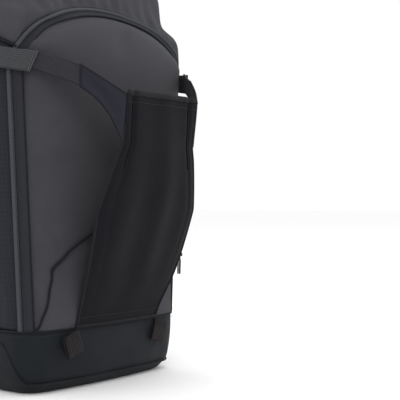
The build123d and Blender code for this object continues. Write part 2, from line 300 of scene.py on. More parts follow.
def meshMaterial(name, color, pitch=0.0032):
    # spacer mesh: rows of round holes with painted shade in their hollows, on object space so pads of any shape
    # take it
    material, tree, shader, coords = startMaterial(name, 0.85, 0.06)
    cells = addNode(tree, "ShaderNodeTexVoronoi", {"Vector": coords.outputs["Object"], "Scale": 1.0 / pitch,
                                                   "Randomness": 0.18})
    hole = addNode(tree, "ShaderNodeMapRange", {"Value": cells.outputs["Distance"], "From Min": 0.18,
                                                "From Max": 0.42})
    yarn = yarnColor(tree, coords, color, 0.3, 0.15)
    # painted shade: the holes are coloured a quarter of the cloth tone
    holeShade = (*(0.25 * part for part in color), 1)
    tree.links.new(mixColors(tree, "MIX", hole.outputs[0], holeShade, yarn.outputs["Color"]),
                   shader.inputs["Base Color"])
    bumpInto(tree, shader, hole.outputs[0], 0.0007)
    return material


tones = {
    "pack": (0.046, 0.046, 0.053), "side": (0.0135, 0.0155, 0.021), "base": (0.0065, 0.0085, 0.0115),
    "band": (0.050, 0.054, 0.062), "bandDark": (0.021, 0.023, 0.028), "webbing": (0.050, 0.051, 0.056),
    # flap: black cloth, darkened further by painted shade; the flap's darts share this tone
    "elastic": (0.028, 0.028, 0.034), "wing": (0.020, 0.020, 0.029), "flap": (0.0045, 0.0042, 0.0065),
    "loop": (0.0115, 0.0088, 0.0092), "mesh": (0.014, 0.014, 0.017), "plastic": (0.008, 0.008, 0.010),
    "stitch": (0.085, 0.085, 0.093), "binding": (0.010, 0.010, 0.013), "lining": (0.09, 0.10, 0.11),
    "sheet": (0.02, 0.02, 0.022), "stay": (0.60, 0.61, 0.63), "zipMetal": (0.035, 0.035, 0.040),
    "thread": (0.022, 0.022, 0.026),
}
look = {
    "pack": clothMaterial("packCloth", tones["pack"], 950.0, 0.0003, 0.82, 0.06, 0.34, 0.16),
    "side": clothMaterial("sideRipstop", tones["side"], 1100.0, 0.0002, 0.7, 0.03, 0.22, 0.14, ripstop=0.0048),
    "base": clothMaterial("baseCoated", tones["base"], 1000.0, 0.00022, 0.58, 0.02, 0.16, 0.2),
    "band": clothMaterial("zipBand", tones["band"], 1400.0, 0.0002, 0.7, 0.05, 0.2, 0.1),
    "bandDark": clothMaterial("zipBandDark", tones["bandDark"], 1400.0, 0.0002, 0.75, 0.03, 0.2, 0.1),
    "wing": clothMaterial("wingCloth", tones["wing"], 1300.0, 0.0002, 0.8, 0.04, 0.2, 0.12),
    "flap": clothMaterial("stretchClothShaded", tones["flap"], 1500.0, 0.00015, 0.8, 0.02, 0.18, 0.2),
    "webbing": webbingMaterial("strapWebbing", tones["webbing"]),
    "elastic": webbingMaterial("ribbedElastic", tones["elastic"], 0.021, 0.0022, 0.0005),
    "loop": webbingMaterial("loopWebbing", tones["loop"], 0.022, 0.0032, 0.0007),
    "narrow": webbingMaterial("narrowWebbing", tones["webbing"], 0.020, 0.0020),
    "belt": webbingMaterial("beltWebbing", tones["elastic"], 0.038, 0.0024),
    "binding": clothMaterial("boundEdge", tones["binding"], 1600.0, 0.0002, 0.7, 0.03, useMap=False),
    "lining": clothMaterial("liningCloth", tones["lining"], 1300.0, 0.0002, 0.75, 0.15),
    "mesh": meshMaterial("spacerMesh", tones["mesh"]),
    "plastic": hardMaterial("mouldedPlastic", tones["plastic"], 0.42),
    "sheet": hardMaterial("framePlastic", tones["sheet"], 0.5),
    "stay": hardMaterial("stayAluminium", tones["stay"], 0.35, 1.0),
    "zipMetal": hardMaterial("zipLacquer", tones["zipMetal"], 0.32, 0.9, 0.00003),
    "stitch": clothMaterial("stitchThread", tones["stitch"], 3000.0, 0.0001, 0.6, 0.1, useMap=False),
    "thread": clothMaterial("darkThread", tones["thread"], 3000.0, 0.0001, 0.6, 0.05, useMap=False),
}
print("materials made:", len(look))


# outline of the sewn shell: the same seams and sections as the frame's panels, in metres

form = {
    "sections": [
        (0.000, 0.106, -0.074, 0.074, 0.008, 0.022), (0.014, 0.115, -0.084, 0.082, 0.010, 0.028),
        (0.065, 0.120, -0.087, 0.085, 0.012, 0.030), (0.370, 0.137, -0.086, 0.085, 0.012, 0.034),
        (0.392, 0.133, -0.084, 0.085, 0.012, 0.034), (0.410, 0.126, -0.070, 0.085, 0.010, 0.034),
        (0.443, 0.122, -0.063, 0.085, 0.010, 0.034), (0.490, 0.108, -0.044, 0.080, 0.009, 0.034),
        (0.512, 0.090, -0.020, 0.068, 0.008, 0.028), (0.520, 0.076, -0.006, 0.056, 0.006, 0.022),
    ],
    "seamZ": 0.066, "legFoot": 0.115, "legTop": 0.129, "legTopZ": 0.332, "knee": (0.120, 0.362),
    "crownHalf": 0.098, "crownZ": 0.382, "topZ": 0.405, "lidFrontZ": 0.352, "lidBackZ": 0.440,
    "backY": 0.085, "backHalf": 0.086, "frontCorner": 0.85, "smooth": 0.009,
}


def makeProfile():
    # each section value as a smooth function of height
    table = np.array(form["sections"])
    heights = np.arange(0.0, 0.5201, 0.001)
    window = int(form["smooth"] / 0.001) | 1
    columns = []
    for column in range(1, 6):
        values = np.interp(heights, table[:, 0], table[:, column])
        padded = np.pad(values, window // 2, mode="reflect", reflect_type="odd")
        columns.append(np.convolve(padded, np.ones(window) / window, mode="valid"))
    return heights, columns


profileHeights, profileColumns = makeProfile()


def sectionAt(z):
    return [np.interp(z, profileHeights, column) for column in profileColumns]


def bulgedY(x, y, half, front, back, bulge):
    middle = (front + back) / 2
    share = np.clip((middle - y) / (middle - front), 0, 1)
    return y - bulge * (1 - (x / half) ** 2) * share


def outlineLengths(z):
    half, front, back, bulge, radius = sectionAt(z)
    rf, rb = radius * form["frontCorner"], radius
    parts = [half - rf, rf * math.pi / 2, back - front - rf - rb, rb * math.pi / 2, half - rb]
    return half, front, back, bulge, rf, rb, parts


def shellPoint(a, z):
    # a runs from 0 at the middle of the front, round the right side, to 1 at the middle of the back
    half, front, back, bulge, rf, rb, parts = outlineLengths(z)
    total = sum(parts)
    s = np.clip(a, 0, 1) * total
    ends = np.cumsum(parts)
    if s <= ends[0]:
        x, y = s, front
    elif s <= ends[1]:
        turn = (s - ends[0]) / rf
        x, y = half - rf + rf * math.sin(turn), front + rf - rf * math.cos(turn)
    elif s <= ends[2]:
        x, y = half, front + rf + s - ends[1]
    elif s <= ends[3]:
        turn = (s - ends[2]) / rb
        x, y = half - rb + rb * math.cos(turn), back - rb + rb * math.sin(turn)
    else:
        x, y = total - s, back
    return Vector((x, bulgedY(x, y, half, front, back, bulge), z))


def shareOfX(x, z):
    # a where the front corner of the outline passes x
    half, front, back, bulge, rf, rb, parts = outlineLengths(z)
    if x <= half - rf:
        return x / sum(parts)
    return (parts[0] + rf * math.asin(min(1, (x - half + rf) / rf))) / sum(parts)


def shareOfBack(x, z):
    return 1 - x / sum(outlineLengths(z)[6])


def circleThrough(p, q, r):
    ax, ay, bx, by, cx, cy = *p, *q, *r
    d = 2 * (ax * (by - cy) + bx * (cy - ay) + cx * (ay - by))
    ux = ((ax**2 + ay**2) * (by - cy) + (bx**2 + by**2) * (cy - ay) + (cx**2 + cy**2) * (ay - by)) / d
    uy = ((ax**2 + ay**2) * (cx - bx) + (bx**2 + by**2) * (ax - cx) + (cx**2 + cy**2) * (bx - ax)) / d
    return ux, uy, math.hypot(ax - ux, ay - uy)


kneeCircle = circleThrough((form["legTop"], form["legTopZ"]), form["knee"], (form["crownHalf"], form["crownZ"]))
crownCircle = circleThrough((-form["crownHalf"], form["crownZ"]), (0, form["topZ"]),
                            (form["crownHalf"], form["crownZ"]))


def archZ(x):
    # top edge of the door at this distance from the middle
    x = min(abs(x), form["legTop"])
    cx, cz, r = crownCircle if x <= form["crownHalf"] else kneeCircle
    return cz + math.sqrt(max(0.0, r * r - (x - cx) ** 2))


def legX(z):
    # side edge of the door at this height
    if z <= form["legTopZ"]:
        share = (z - form["seamZ"]) / (form["legTopZ"] - form["seamZ"])
        return form["legFoot"] + share * (form["legTop"] - form["legFoot"])
    cx, cz, r = kneeCircle
    return cx + math.sqrt(max(0.0, r * r - (z - cz) ** 2))


def lidZ(y):
    share = (y + form["backY"]) / (2 * form["backY"])
    return form["lidFrontZ"] + share * (form["lidBackZ"] - form["lidFrontZ"])


def frontPoint(x, z):
    point = shellPoint(shareOfX(abs(x), z), z)
    return Vector((math.copysign(point.x, x), point.y, z))


def normalOf(place, u, v):
    step = 0.002
    du = place(u + step, v) - place(u - step, v)
    dv = place(u, v + step) - place(u, v - step)
    return du.cross(dv).normalized()


def frontNormal(x, z):
    n = normalOf(frontPoint, x, z)
    return n if n.y < 0 else -n


def shellNormal(a, z):
    n = normalOf(shellPoint, min(max(a, 0.004), 0.996), min(max(z, 0.003), 0.517))
    middle = Vector((0, 0, z))
    return n if n.dot(shellPoint(a, z) - middle) > 0 else -n


# making and settling pieces

def finishPiece(piece, name, material, body, nodes=(), smooth=True):
    piece.name = name
    piece.data.name = name
    if material is not None:
        piece.data.materials.clear()
        piece.data.materials.append(material)
    if smooth:
        for polygon in piece.data.polygons:
            polygon.use_smooth = True
    if body:
        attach(piece, body)
    if nodes:
        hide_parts(*nodes)
    return piece


def clothGrid(name, columns, rows, place, close=False):
    # a grid primitive whose points are set on the form; its map is in metres
    bpy.ops.object.select_all(action="DESELECT")
    bpy.ops.mesh.primitive_grid_add(x_subdivisions=columns, y_subdivisions=rows, size=2)
    piece = bpy.context.object
    piece.name = name
    mesh = piece.data
    shares = np.array([v.co for v in mesh.vertices])[:, :2] / 2 + 0.5
    points = np.array([place(float(u), float(v)) for u, v in shares])
    mesh.vertices.foreach_set("co", points.astype(np.float32).ravel())
    order = np.lexsort((shares[:, 0], np.round(shares[:, 1] * 10000)))
    table = points[order].reshape(rows + 1, columns + 1, 3)
    alongSteps = np.cumsum(np.linalg.norm(np.diff(table, axis=1), axis=2), 1)
    along = np.concatenate([np.zeros((rows + 1, 1)), alongSteps], 1)
    along -= along[:, columns // 2:columns // 2 + 1]
    upSteps = np.cumsum(np.linalg.norm(np.diff(table, axis=0), axis=2), 0)
    up = np.concatenate([np.zeros((1, columns + 1)), upSteps], 0)
    maps = np.zeros((len(points), 2))
    maps[order, 0] = along.ravel()
    maps[order, 1] = up.ravel()
    layer = mesh.uv_layers.active or mesh.uv_layers.new()
    for loop in mesh.loops:
        layer.data[loop.index].uv = maps[loop.vertex_index]
    mesh.update()
    if close:
        editMesh(piece, lambda: bpy.ops.mesh.remove_doubles(threshold=0.0002))
    return piece


def pickOnly(piece):
    bpy.ops.object.select_all(action="DESELECT")
    piece.select_set(True)
    bpy.context.view_layer.objects.active = piece


def editMesh(piece, work):
    pickOnly(piece)
    bpy.ops.object.mode_set(mode="EDIT")
    bpy.ops.mesh.select_all(action="SELECT")
    work()
    bpy.ops.object.mode_set(mode="OBJECT")


def applyModifier(piece, kind, **settings):
    pickOnly(piece)
    modifier = piece.modifiers.new(kind.lower(), kind)
    for key, value in settings.items():
        setattr(modifier, key, value)
    bpy.ops.object.modifier_apply(modifier=modifier.name)


def swapSides(piece):
    piece.data.transform(Matrix.Diagonal((-1, 1, 1, 1)))


def facesOut(piece, outside):
    # turns the whole skin over if its faces point away from the side given by outside(point, normal)
    votes = sum(outside(p.center, p.normal) * p.area for p in piece.data.polygons)
    if votes < 0:
        editMesh(piece, lambda: bpy.ops.mesh.flip_normals())


def pointsWhere(piece, test):
    return [v.index for v in piece.data.vertices if test(v.co)]


def borderPoints(piece):
    mesh = bmesh.new()
    mesh.from_mesh(piece.data)
    found = [v.index for v in mesh.verts if v.is_boundary]
    mesh.free()
    return found


clothFeel = {
    "tension_stiffness": 18, "compression_stiffness": 18, "shear_stiffness": 8, "mass": 0.15, "quality": 6,
}


def settleCloth(piece, growth, pressure, cap, held=None, bending=0.4):
    # soft goods settle: edges stay sewn down, the rest swells and creases, and no point moves past cap
    mesh = piece.data
    frames = 20
    start = np.array([v.co for v in mesh.vertices])
    pinned = held if held is not None else borderPoints(piece)
    group = piece.vertex_groups.new(name="sewn")
    if pinned:
        group.add(list(pinned), 1.0, "REPLACE")
    modifier = piece.modifiers.new("cloth", "CLOTH")
    for key, value in {**clothFeel, "bending_stiffness": bending}.items():
        setattr(modifier.settings, key, value)
    if pinned:
        modifier.settings.vertex_group_mass = "sewn"
    modifier.settings.shrink_min = -growth
    modifier.settings.use_pressure = True
    modifier.settings.uniform_pressure_force = pressure
    modifier.settings.effector_weights.gravity = 0
    modifier.collision_settings.use_collision = False
    modifier.point_cache.frame_start = 1
    modifier.point_cache.frame_end = frames
    pickOnly(piece)
    for number in range(1, frames + 1):
        bpy.context.scene.frame_set(number)
    bpy.ops.object.modifier_apply(modifier=modifier.name)
    bpy.context.scene.frame_set(1)
    moved = np.array([v.co for v in mesh.vertices]) - start
    far = np.linalg.norm(moved, axis=1, keepdims=True)
    ease = cap * np.tanh(far / cap) / np.maximum(far, 1e-9)
    mesh.vertices.foreach_set("co", (start + moved * ease).astype(np.float32).ravel())
    mesh.update()
    print("settled", piece.name, "most moved %.1f mm" % (far.max() * 1000))


# sewn panels of the shell

zips = {
    "doorWide": 0.0095, "shellWide": 0.0055, "gap": 0.0003, "lift": 0.0004, "thick": 0.0009, "coil": 0.0024,
    "step": 0.004, "lineLong": 0.93, "crownNarrow": (0.45, 0.25), "crownFrom": 0.345, "crownOver": 0.045,
    "zigzagAt": 0.0026, "zigzagWide": 0.0020, "stitchAt": 0.0016, "teethAt": 0.0006,
    "tooth": (0.0018, 0.0013, 0.0010),
}
panels = {
    "cell": 0.0065, "skin": 0.0014, "seamDip": 0.0012, "seamSoft": 0.012,
    "door": {"puff": 0.0045, "crown": 0.0062, "growth": 0.012, "pressure": 1.2, "cap": 0.004},
    "side": {"puff": 0.0030, "growth": 0.020, "pressure": 1.0, "cap": 0.005},
    "lid": {"puff": 0.0035, "growth": 0.030, "pressure": 1.0, "cap": 0.006},
    "base": {"puff": 0.0020},
}


def puffed(place, outward, size, edge, extra=lambda z: 0.0):
    # swell away from the seams: edge(u, v) is the distance to the nearest seam
    def raised(u, v):
        distance = edge(u, v)
        point = place(u, v)
        more = extra(point.z)
        rise = size * (1 - math.exp(-distance / panels["seamSoft"])) + more * (1 - math.exp(-distance / 0.006))
        return point + outward(u, v) * (rise - panels["seamDip"] * math.exp(-distance / 0.003))
    return raised


def softStep(share):
    share = min(1.0, max(0.0, share))
    return share * share * (3 - 2 * share)


def crownSwell(z):
    # the top of the door stands further out, over the zip
    return panels["door"]["crown"] * softStep((z - 0.29) / 0.08)


def doorPlace(u, v):
    across = 2 * u - 1
    across = 0.5 * across + 0.5 * math.sin(across * math.pi / 2)
    top = archZ(across * form["legTop"]) - 0.0004
    z = form["seamZ"] + 0.0004 + v * (top - form["seamZ"] - 0.0004)
    return frontPoint(across * (legX(min(z, form["legTopZ"])) - 0.0004), z)


def doorInset(p):
    # distance inside the zip band, along which the door lies flat
    edge = min(legX(min(p.z, form["legTopZ"])) - abs(p.x), archZ(p.x) - p.z) - zips["doorWide"]
    return max(0.0, min(edge, p.z - form["seamZ"] + 0.0002))


def doorEdge(u, v):
    return doorInset(doorPlace(u, v))


def lidInset(p):
    if p.y < 0 and abs(p.x) < 0.128:
        return max(0.0, p.z - archZ(p.x) - zips["shellWide"])
    return max(0.0, p.z - lidZ(p.y))


def sideStart(z):
    return shareOfX(legX(min(z, 0.3535)) + 0.0004, z)


def sidePlace(u, v):
    top = form["lidFrontZ"]
    for _ in range(4):
        a = sideStart(top) + u * (shareOfBack(form["backHalf"], top) - sideStart(top))
        top = lidZ(shellPoint(a, top).y) - 0.0003
    z = form["seamZ"] + 0.0004 + v * (top - form["seamZ"] - 0.0004)
    first = sideStart(z)
    return shellPoint(first + u * (shareOfBack(form["backHalf"], z) - first), z)


def sideOut(u, v):
    p = sidePlace(u, v)
    n = normalOf(sidePlace, min(max(u, 0.003), 0.997), min(max(v, 0.003), 0.997))
    return n if n.dot(Vector((p.x, p.y * 0.6, 0))) > 0 else -n


def sideEdge(u, v):
    return max(0.0, min(u * 0.24 - zips["shellWide"], (1 - u) * 0.24, v * 0.32, (1 - v) * 0.32))


def lidBorder(a):
    z = form["topZ"]
    for _ in range(6):
        p = shellPoint(a, z)
        z = max(archZ(p.x) if p.x < 0.1225 and p.y < 0 else 0, lidZ(p.y))
    return z + 0.0004


lidMiddle = Vector((0, 0.024, 0.520))


def lidPlace(u, v):
    signed = 2 * u - 1
    a = abs(signed)
    low = lidBorder(a)
    if v <= 0.78:
        p = shellPoint(a, low + (v / 0.78) * (0.520 - low))
    else:
        rim = shellPoint(a, 0.520)
        share = (v - 0.78) / 0.22
        p = rim.lerp(lidMiddle, share)
        p.z = 0.520 + 0.0015 * share
    return Vector((math.copysign(p.x, signed), p.y, p.z))


def lidOut(u, v):
    p = lidPlace(u, v)
    n = normalOf(lidPlace, min(max(u, 0.004), 0.996), min(max(v, 0.004), 0.97))
    return n if n.dot(p - Vector((0, 0, 0.36))) > 0 else -n


def lidEdge(u, v):
    return lidInset(lidPlace(u, v))


def basePlace(u, v):
    signed = 2 * u - 1
    if v <= 0.4:
        p = shellPoint(abs(signed), form["seamZ"] - 0.0004 - (v / 0.4) * (form["seamZ"] - 0.0004))
    else:
        p = shellPoint(abs(signed), 0.0).lerp(Vector((0, 0, 0)), (v - 0.4) / 0.6)
    return Vector((math.copysign(p.x, signed), p.y, max(p.z, 0.0)))


def baseRaised(u, v):
    p = basePlace(u, v)
    out = Vector((p.x, p.y, 0)).normalized()
    lift = panels["base"]["puff"] * math.sin(min(v / 0.4, 1) * math.pi)
    sag = 0.0012 * noise.noise(p * 22.0) + 0.0007 * noise.noise(p * 55.0)
    return p + out * (lift + (sag * math.sin(min(v / 0.4, 1) * math.pi) ** 0.5 if v < 0.4 else 0))


def backPlace(u, v):
    top = lidZ(form["backY"]) - 0.0004
    half = form["backHalf"] - 0.0004
    z = form["seamZ"] + 0.0004 + v * (top - form["seamZ"])
    return Vector(((2 * u - 1) * half, form["backY"] - 0.0002 + 0.0008 * math.sin(math.pi * u), z))


def skinOf(piece, thick, inward=True):
    applyModifier(piece, "SOLIDIFY", thickness=thick, offset=-1.0 if inward else 1.0, use_even_offset=False)


def addFolds(piece, fold):
    # moves points along their normals by fold(point) metres
    mesh = piece.data
    normals = [v.normal.copy() for v in mesh.vertices]
    for vertex, normal in zip(mesh.vertices, normals):
        vertex.co += normal * fold(vertex.co)
    mesh.update()


def doorFold(p):
    low = 0.0016 * noise.noise(Vector((p.x * 16, 0, p.z * 7)))
    near = math.exp(-((abs(p.x) - 0.100) / 0.022) ** 2) * math.exp(-((p.z - 0.125) / 0.05) ** 2)
    return (low + 0.0010 * near * math.sin(p.z * 190 + p.x * 160)) * min(1.0, doorInset(p) / 0.012)


def sideFold(p):
    slack = 0.0018 * noise.noise(Vector((0, p.y * 15, p.z * 9 + 3)))
    crease = 0.0010 * noise.noise(Vector((1, p.y * 40 + p.z * 22, p.z * 12)))
    away = min(p.z - form["seamZ"], lidZ(p.y) - p.z, form["backY"] - 0.012 - p.y, p.y + 0.066)
    return (slack + crease) * min(1.0, max(0.0, away) / 0.015)


def lidFold(p):
    inset = lidInset(p)
    near = math.exp(-inset / 0.030) * (1.0 if p.y < 0.03 else 0.45)
    along = p.x if p.y < -0.02 else p.x * 0.4 + p.y
    gather = math.sin(along * 330 + 2.2 * noise.noise(Vector((along * 30, 4, p.z * 6))))
    rise = min(1.0, inset / 0.006)
    return rise * (0.0019 * near * gather + 0.0018 * noise.noise(p * 17.0))


settled = {}  # door cloth once it has settled, for what lies on it


def onDoor(x, z, lift):
    hit, normal, _, _ = settled["door"].ray_cast(Vector((x, -0.3, z)), Vector((0, 1, 0)))
    if hit is None:
        hit, normal = frontPoint(x, z), frontNormal(x, z)
    return hit + (normal if normal.y < 0 else -normal) * lift


def makeShell():
    cell = panels["cell"]
    door = clothGrid("frontPanel", int(0.262 / cell), int(0.33 / cell),
                     puffed(doorPlace, lambda u, v: frontNormal(doorPlace(u, v).x, doorPlace(u, v).z),
                            panels["door"]["puff"], doorEdge, crownSwell))
    facesOut(door, lambda c, n: -n.y)
    settleCloth(door, panels["door"]["growth"], panels["door"]["pressure"], panels["door"]["cap"],
                pointsWhere(door, lambda p: doorInset(p) < 0.001))
    applyModifier(door, "SUBSURF", levels=1, render_levels=1)
    addFolds(door, doorFold)
    skinOf(door, panels["skin"])
    finishPiece(door, "frontPanel", look["pack"], "door", ["front_panel"])
    settled["door"] = BVHTree.FromPolygons([v.co for v in door.data.vertices],
                                           [tuple(p.vertices) for p in door.data.polygons])
    for word, side in bothSides:
        panel = clothGrid("side" + word, int(0.24 / cell), int(0.33 / cell),
                          puffed(sidePlace, sideOut, panels["side"]["puff"], sideEdge))
        front = {v.index for v in panel.data.vertices if v.co.y < -0.05 and
                 sideStart(v.co.z) * 0.42 + zips["shellWide"] > frontArc(v.co)}
        if side < 0:
            swapSides(panel)
        facesOut(panel, lambda c, n: n.x * c.x + n.y * c.y)
        settleCloth(panel, panels["side"]["growth"], panels["side"]["pressure"], panels["side"]["cap"],
                    sorted(front | set(borderPoints(panel))))
        applyModifier(panel, "SUBSURF", levels=1, render_levels=1)
        addFolds(panel, sideFold)
        skinOf(panel, panels["skin"])
        finishPiece(panel, "sidePanel" + word, look["side"], "pack_shell", ["side_panel_" + word.lower()])
    lid = clothGrid("lid", int(0.78 / cell), int(0.24 / cell),
                    puffed(lidPlace, lidOut, panels["lid"]["puff"], lidEdge), close=True)
    facesOut(lid, lambda c, n: n.dot(c - Vector((0, 0, 0.36))))
    settleCloth(lid, panels["lid"]["growth"], panels["lid"]["pressure"], panels["lid"]["cap"],
                pointsWhere(lid, lambda p: lidInset(p) < 0.001))
    applyModifier(lid, "SUBSURF", levels=1, render_levels=1)
    addFolds(lid, lidFold)
    skinOf(lid, panels["skin"])
    finishPiece(lid, "topPanel", look["pack"], "pack_shell", ["top_panel"])
    base = clothGrid("base", 120, 36, baseRaised, close=True)
    facesOut(base, lambda c, n: n.dot(c - Vector((0, 0, 0.05))))
    applyModifier(base, "SUBSURF", levels=1, render_levels=1)
    skinOf(base, panels["skin"])
    finishPiece(base, "basePanel", look["base"], "pack_shell", ["base_panel"])
    back = clothGrid("back", 28, 60, backPlace)
    facesOut(back, lambda c, n: n.y)
    skinOf(back, 0.002)
    finishPiece(back, "backPanel", look["mesh"], "pack_shell", ["back_panel"])


def frontArc(p):
    # rough length round the outline from the middle of the front to a point on the side
    half, front, back, bulge, rf, rb, parts = outlineLengths(p.z)
    if p.y > front + rf:
        return parts[0] + parts[1] + p.y - front - rf
    turn = math.acos(min(1.0, max(-1.0, (front + rf - p.y) / rf)))
    return parts[0] + rf * (math.pi / 2 - turn)


makeShell()
print("shell panels made")


# strips, tubes and repeated stitches

def stripPiece(name, count, rows, at, thick, material, body, nodes=(), outside=None, mirrorIt=False):
    # a flat strip of cloth or webbing: at(u, v) runs along u and across v, v = 0 to 1
    piece = clothGrid(name, count, rows, at)
    if mirrorIt:
        swapSides(piece)
        editMesh(piece, lambda: bpy.ops.mesh.flip_normals())
    if outside is not None:
        facesOut(piece, outside)
    skinOf(piece, thick, inward=False)
    return finishPiece(piece, name, material, body, nodes)


def tubePiece(name, points, radius, material, body, closed=False):
    data = bpy.data.curves.new(name, "CURVE")
    data.dimensions = "3D"
    data.bevel_depth = radius
    data.bevel_resolution = 2
    data.use_fill_caps = True
    spline = data.splines.new("POLY")
    spline.points.add(len(points) - 1)
    for place, point in zip(spline.points, points):
        place.co = (*point, 1)
    spline.use_cyclic_u = closed
    shape = bpy.data.objects.new(name, data)
    bpy.context.scene.collection.objects.link(shape)
    pickOnly(shape)
    bpy.ops.object.convert(target="MESH")
    return finishPiece(bpy.context.object, name, material, body, ())


def frameOf(place, along, normal):
    z = normal.normalized()
    x = (along - z * along.dot(z)).normalized()
    y = z.cross(x)
    return Matrix(((x.x, y.x, z.x, place.x), (x.y, y.y, z.y, place.y), (x.z, y.z, z.z, place.z), (0, 0, 0, 1)))


def repeatPiece(name, long, wide, high, frames, material, body, slot):
    # one small rounded bar, modelled once and repeated along a seam
    bpy.ops.object.select_all(action="DESELECT")
    bpy.ops.mesh.primitive_cylinder_add(vertices=6, radius=0.5, depth=1.0, rotation=(0, math.pi / 2, 0))
    bar = bpy.context.object
    bpy.ops.object.transform_apply(location=True, rotation=True, scale=True)
    points = np.array([v.co for v in bar.data.vertices])
    faces = [tuple(p.vertices) for p in bar.data.polygons]
    bpy.data.objects.remove(bar)
    ends = np.abs(points[:, 0]) > 0.4
    points[ends, 1:] *= 0.75
    points *= (long, wide, high)
    allPoints, allFaces = [], []
    for index, matrix in enumerate(frames):
        m = np.array(matrix)
        allPoints.append(points @ m[:3, :3].T + m[:3, 3])
        allFaces += [tuple(n + index * len(points) for n in face) for face in faces]
    mesh = bpy.data.meshes.new(name)
    mesh.from_pydata(np.concatenate(allPoints).tolist(), [], allFaces)
    mesh.update()
    piece = bpy.data.objects.new(name, mesh)
    bpy.context.scene.collection.objects.link(piece)
    return finishPiece(piece, name, material, body, (), smooth=False)


def walk(points, step, start=0.0):
    # evenly spaced places along a run of points, each with its direction
    points = [Vector(p) for p in points]
    lengths = [0.0]
    for a, b in zip(points, points[1:]):
        lengths.append(lengths[-1] + (b - a).length)
    found = []
    here = start
    index = 0
    while here <= lengths[-1] and index < len(points) - 1:
        while index < len(points) - 2 and lengths[index + 1] < here:
            index += 1
        span = max(lengths[index + 1] - lengths[index], 1e-9)
        share = (here - lengths[index]) / span
        first, second = points[index], points[index + 1]
        found.append((first.lerp(second, share), (second - first).normalized()))
        here += step
    return found


stitchLift = 0.0002  # height of thread over the cloth


def nearest(index, count, others):
    # the item out of others that lies as far along as index does out of count
    return min(others - 1, int(index / max(count - 1, 1) * (others - 1) + 0.5))


def stitchRow(name, points, normals, body, pitch=0.0034, long=0.0024, wide=0.0006):
    # thread bars along a line lying on cloth; normals holds one direction per point
    frames = []
    marks = walk(points, pitch)
    for index, (place, along) in enumerate(marks):
        normal = normals[nearest(index, len(marks), len(normals))]
        frames.append(frameOf(place + normal * stitchLift, along, normal))
    return repeatPiece(name, long, wide, wide * 0.7, frames, look["thread"], body, "binding")


def zigzagRow(name, points, normals, acrosses, wide, body):
    pitch, thick = 0.0022, 0.0005
    frames = []
    marks = walk(points, pitch)
    for index, (place, along) in enumerate(marks):
        pick = nearest(index, len(marks), len(normals))
        sense = 1 if index % 2 else -1
        slant = (along * pitch + acrosses[pick] * (wide * sense)).normalized()
        frames.append(frameOf(place + normals[pick] * stitchLift, slant, normals[pick]))
    return repeatPiece(name, math.hypot(pitch, wide), thick, thick, frames, look["thread"], body, "binding")


# door zip: a band on each side of the coil, piping at their edges

def doorLine():
    # the door's edge from its right foot over the crown to its left foot, with outward directions
    right = []
    for z in np.arange(form["seamZ"] + 0.0006, form["legTopZ"], zips["step"]):
        right.append((legX(z), z))
    cx, cz, r = kneeCircle
    begin = math.atan2(form["legTopZ"] - cz, form["legTop"] - cx)
    stop = math.atan2(form["crownZ"] - cz, form["crownHalf"] - cx)
    for share in np.linspace(0, 1, 18):
        turn = begin + share * (stop - begin)
        right.append((cx + r * math.cos(turn), cz + r * math.sin(turn)))
    for x in np.linspace(form["crownHalf"], 0, 30)[1:]:
        right.append((x, archZ(x)))
    line = np.array(right + [(-x, z) for x, z in reversed(right[:-1])])
    for _ in range(3):
        line[1:-1] = (line[:-2] + 2 * line[1:-1] + line[2:]) / 4
    tangents = np.gradient(line, axis=0)
    tangents /= np.linalg.norm(tangents, axis=1, keepdims=True)
    return line, np.stack([tangents[:, 1], -tangents[:, 0]], 1)


zipLine, zipOutward = doorLine()


def onBand(share, offset, lift=0.0):
    # point on the shell beside the door's edge, offset outwards from it
    where = share * (len(zipLine) - 1)
    low = min(int(where), len(zipLine) - 2)
    part = where - low
    x, z = zipLine[low] * (1 - part) + zipLine[low + 1] * part
    offset *= 1 - zips["crownNarrow"][offset > 0] * softStep((z - zips["crownFrom"]) / zips["crownOver"])
    dx, dz = zipOutward[low] * (1 - part) + zipOutward[low + 1] * part
    z += offset * dz
    side = 1 if x >= 0 else -1
    total = sum(outlineLengths(z)[6])
    a = shareOfX(abs(x), z) + offset * dx * side / total
    if a < 0:
        a, side = -a, -side
    point = shellPoint(a, z)
    normal = shellNormal(a, z)
    point.x *= side
    normal.x *= side
    return point + normal * lift, normal


def bandLine(offset, lift):
    found = [onBand(share, offset, lift) for share in np.linspace(0, 1, 260)]
    return [f[0] for f in found], [f[1] for f in found]


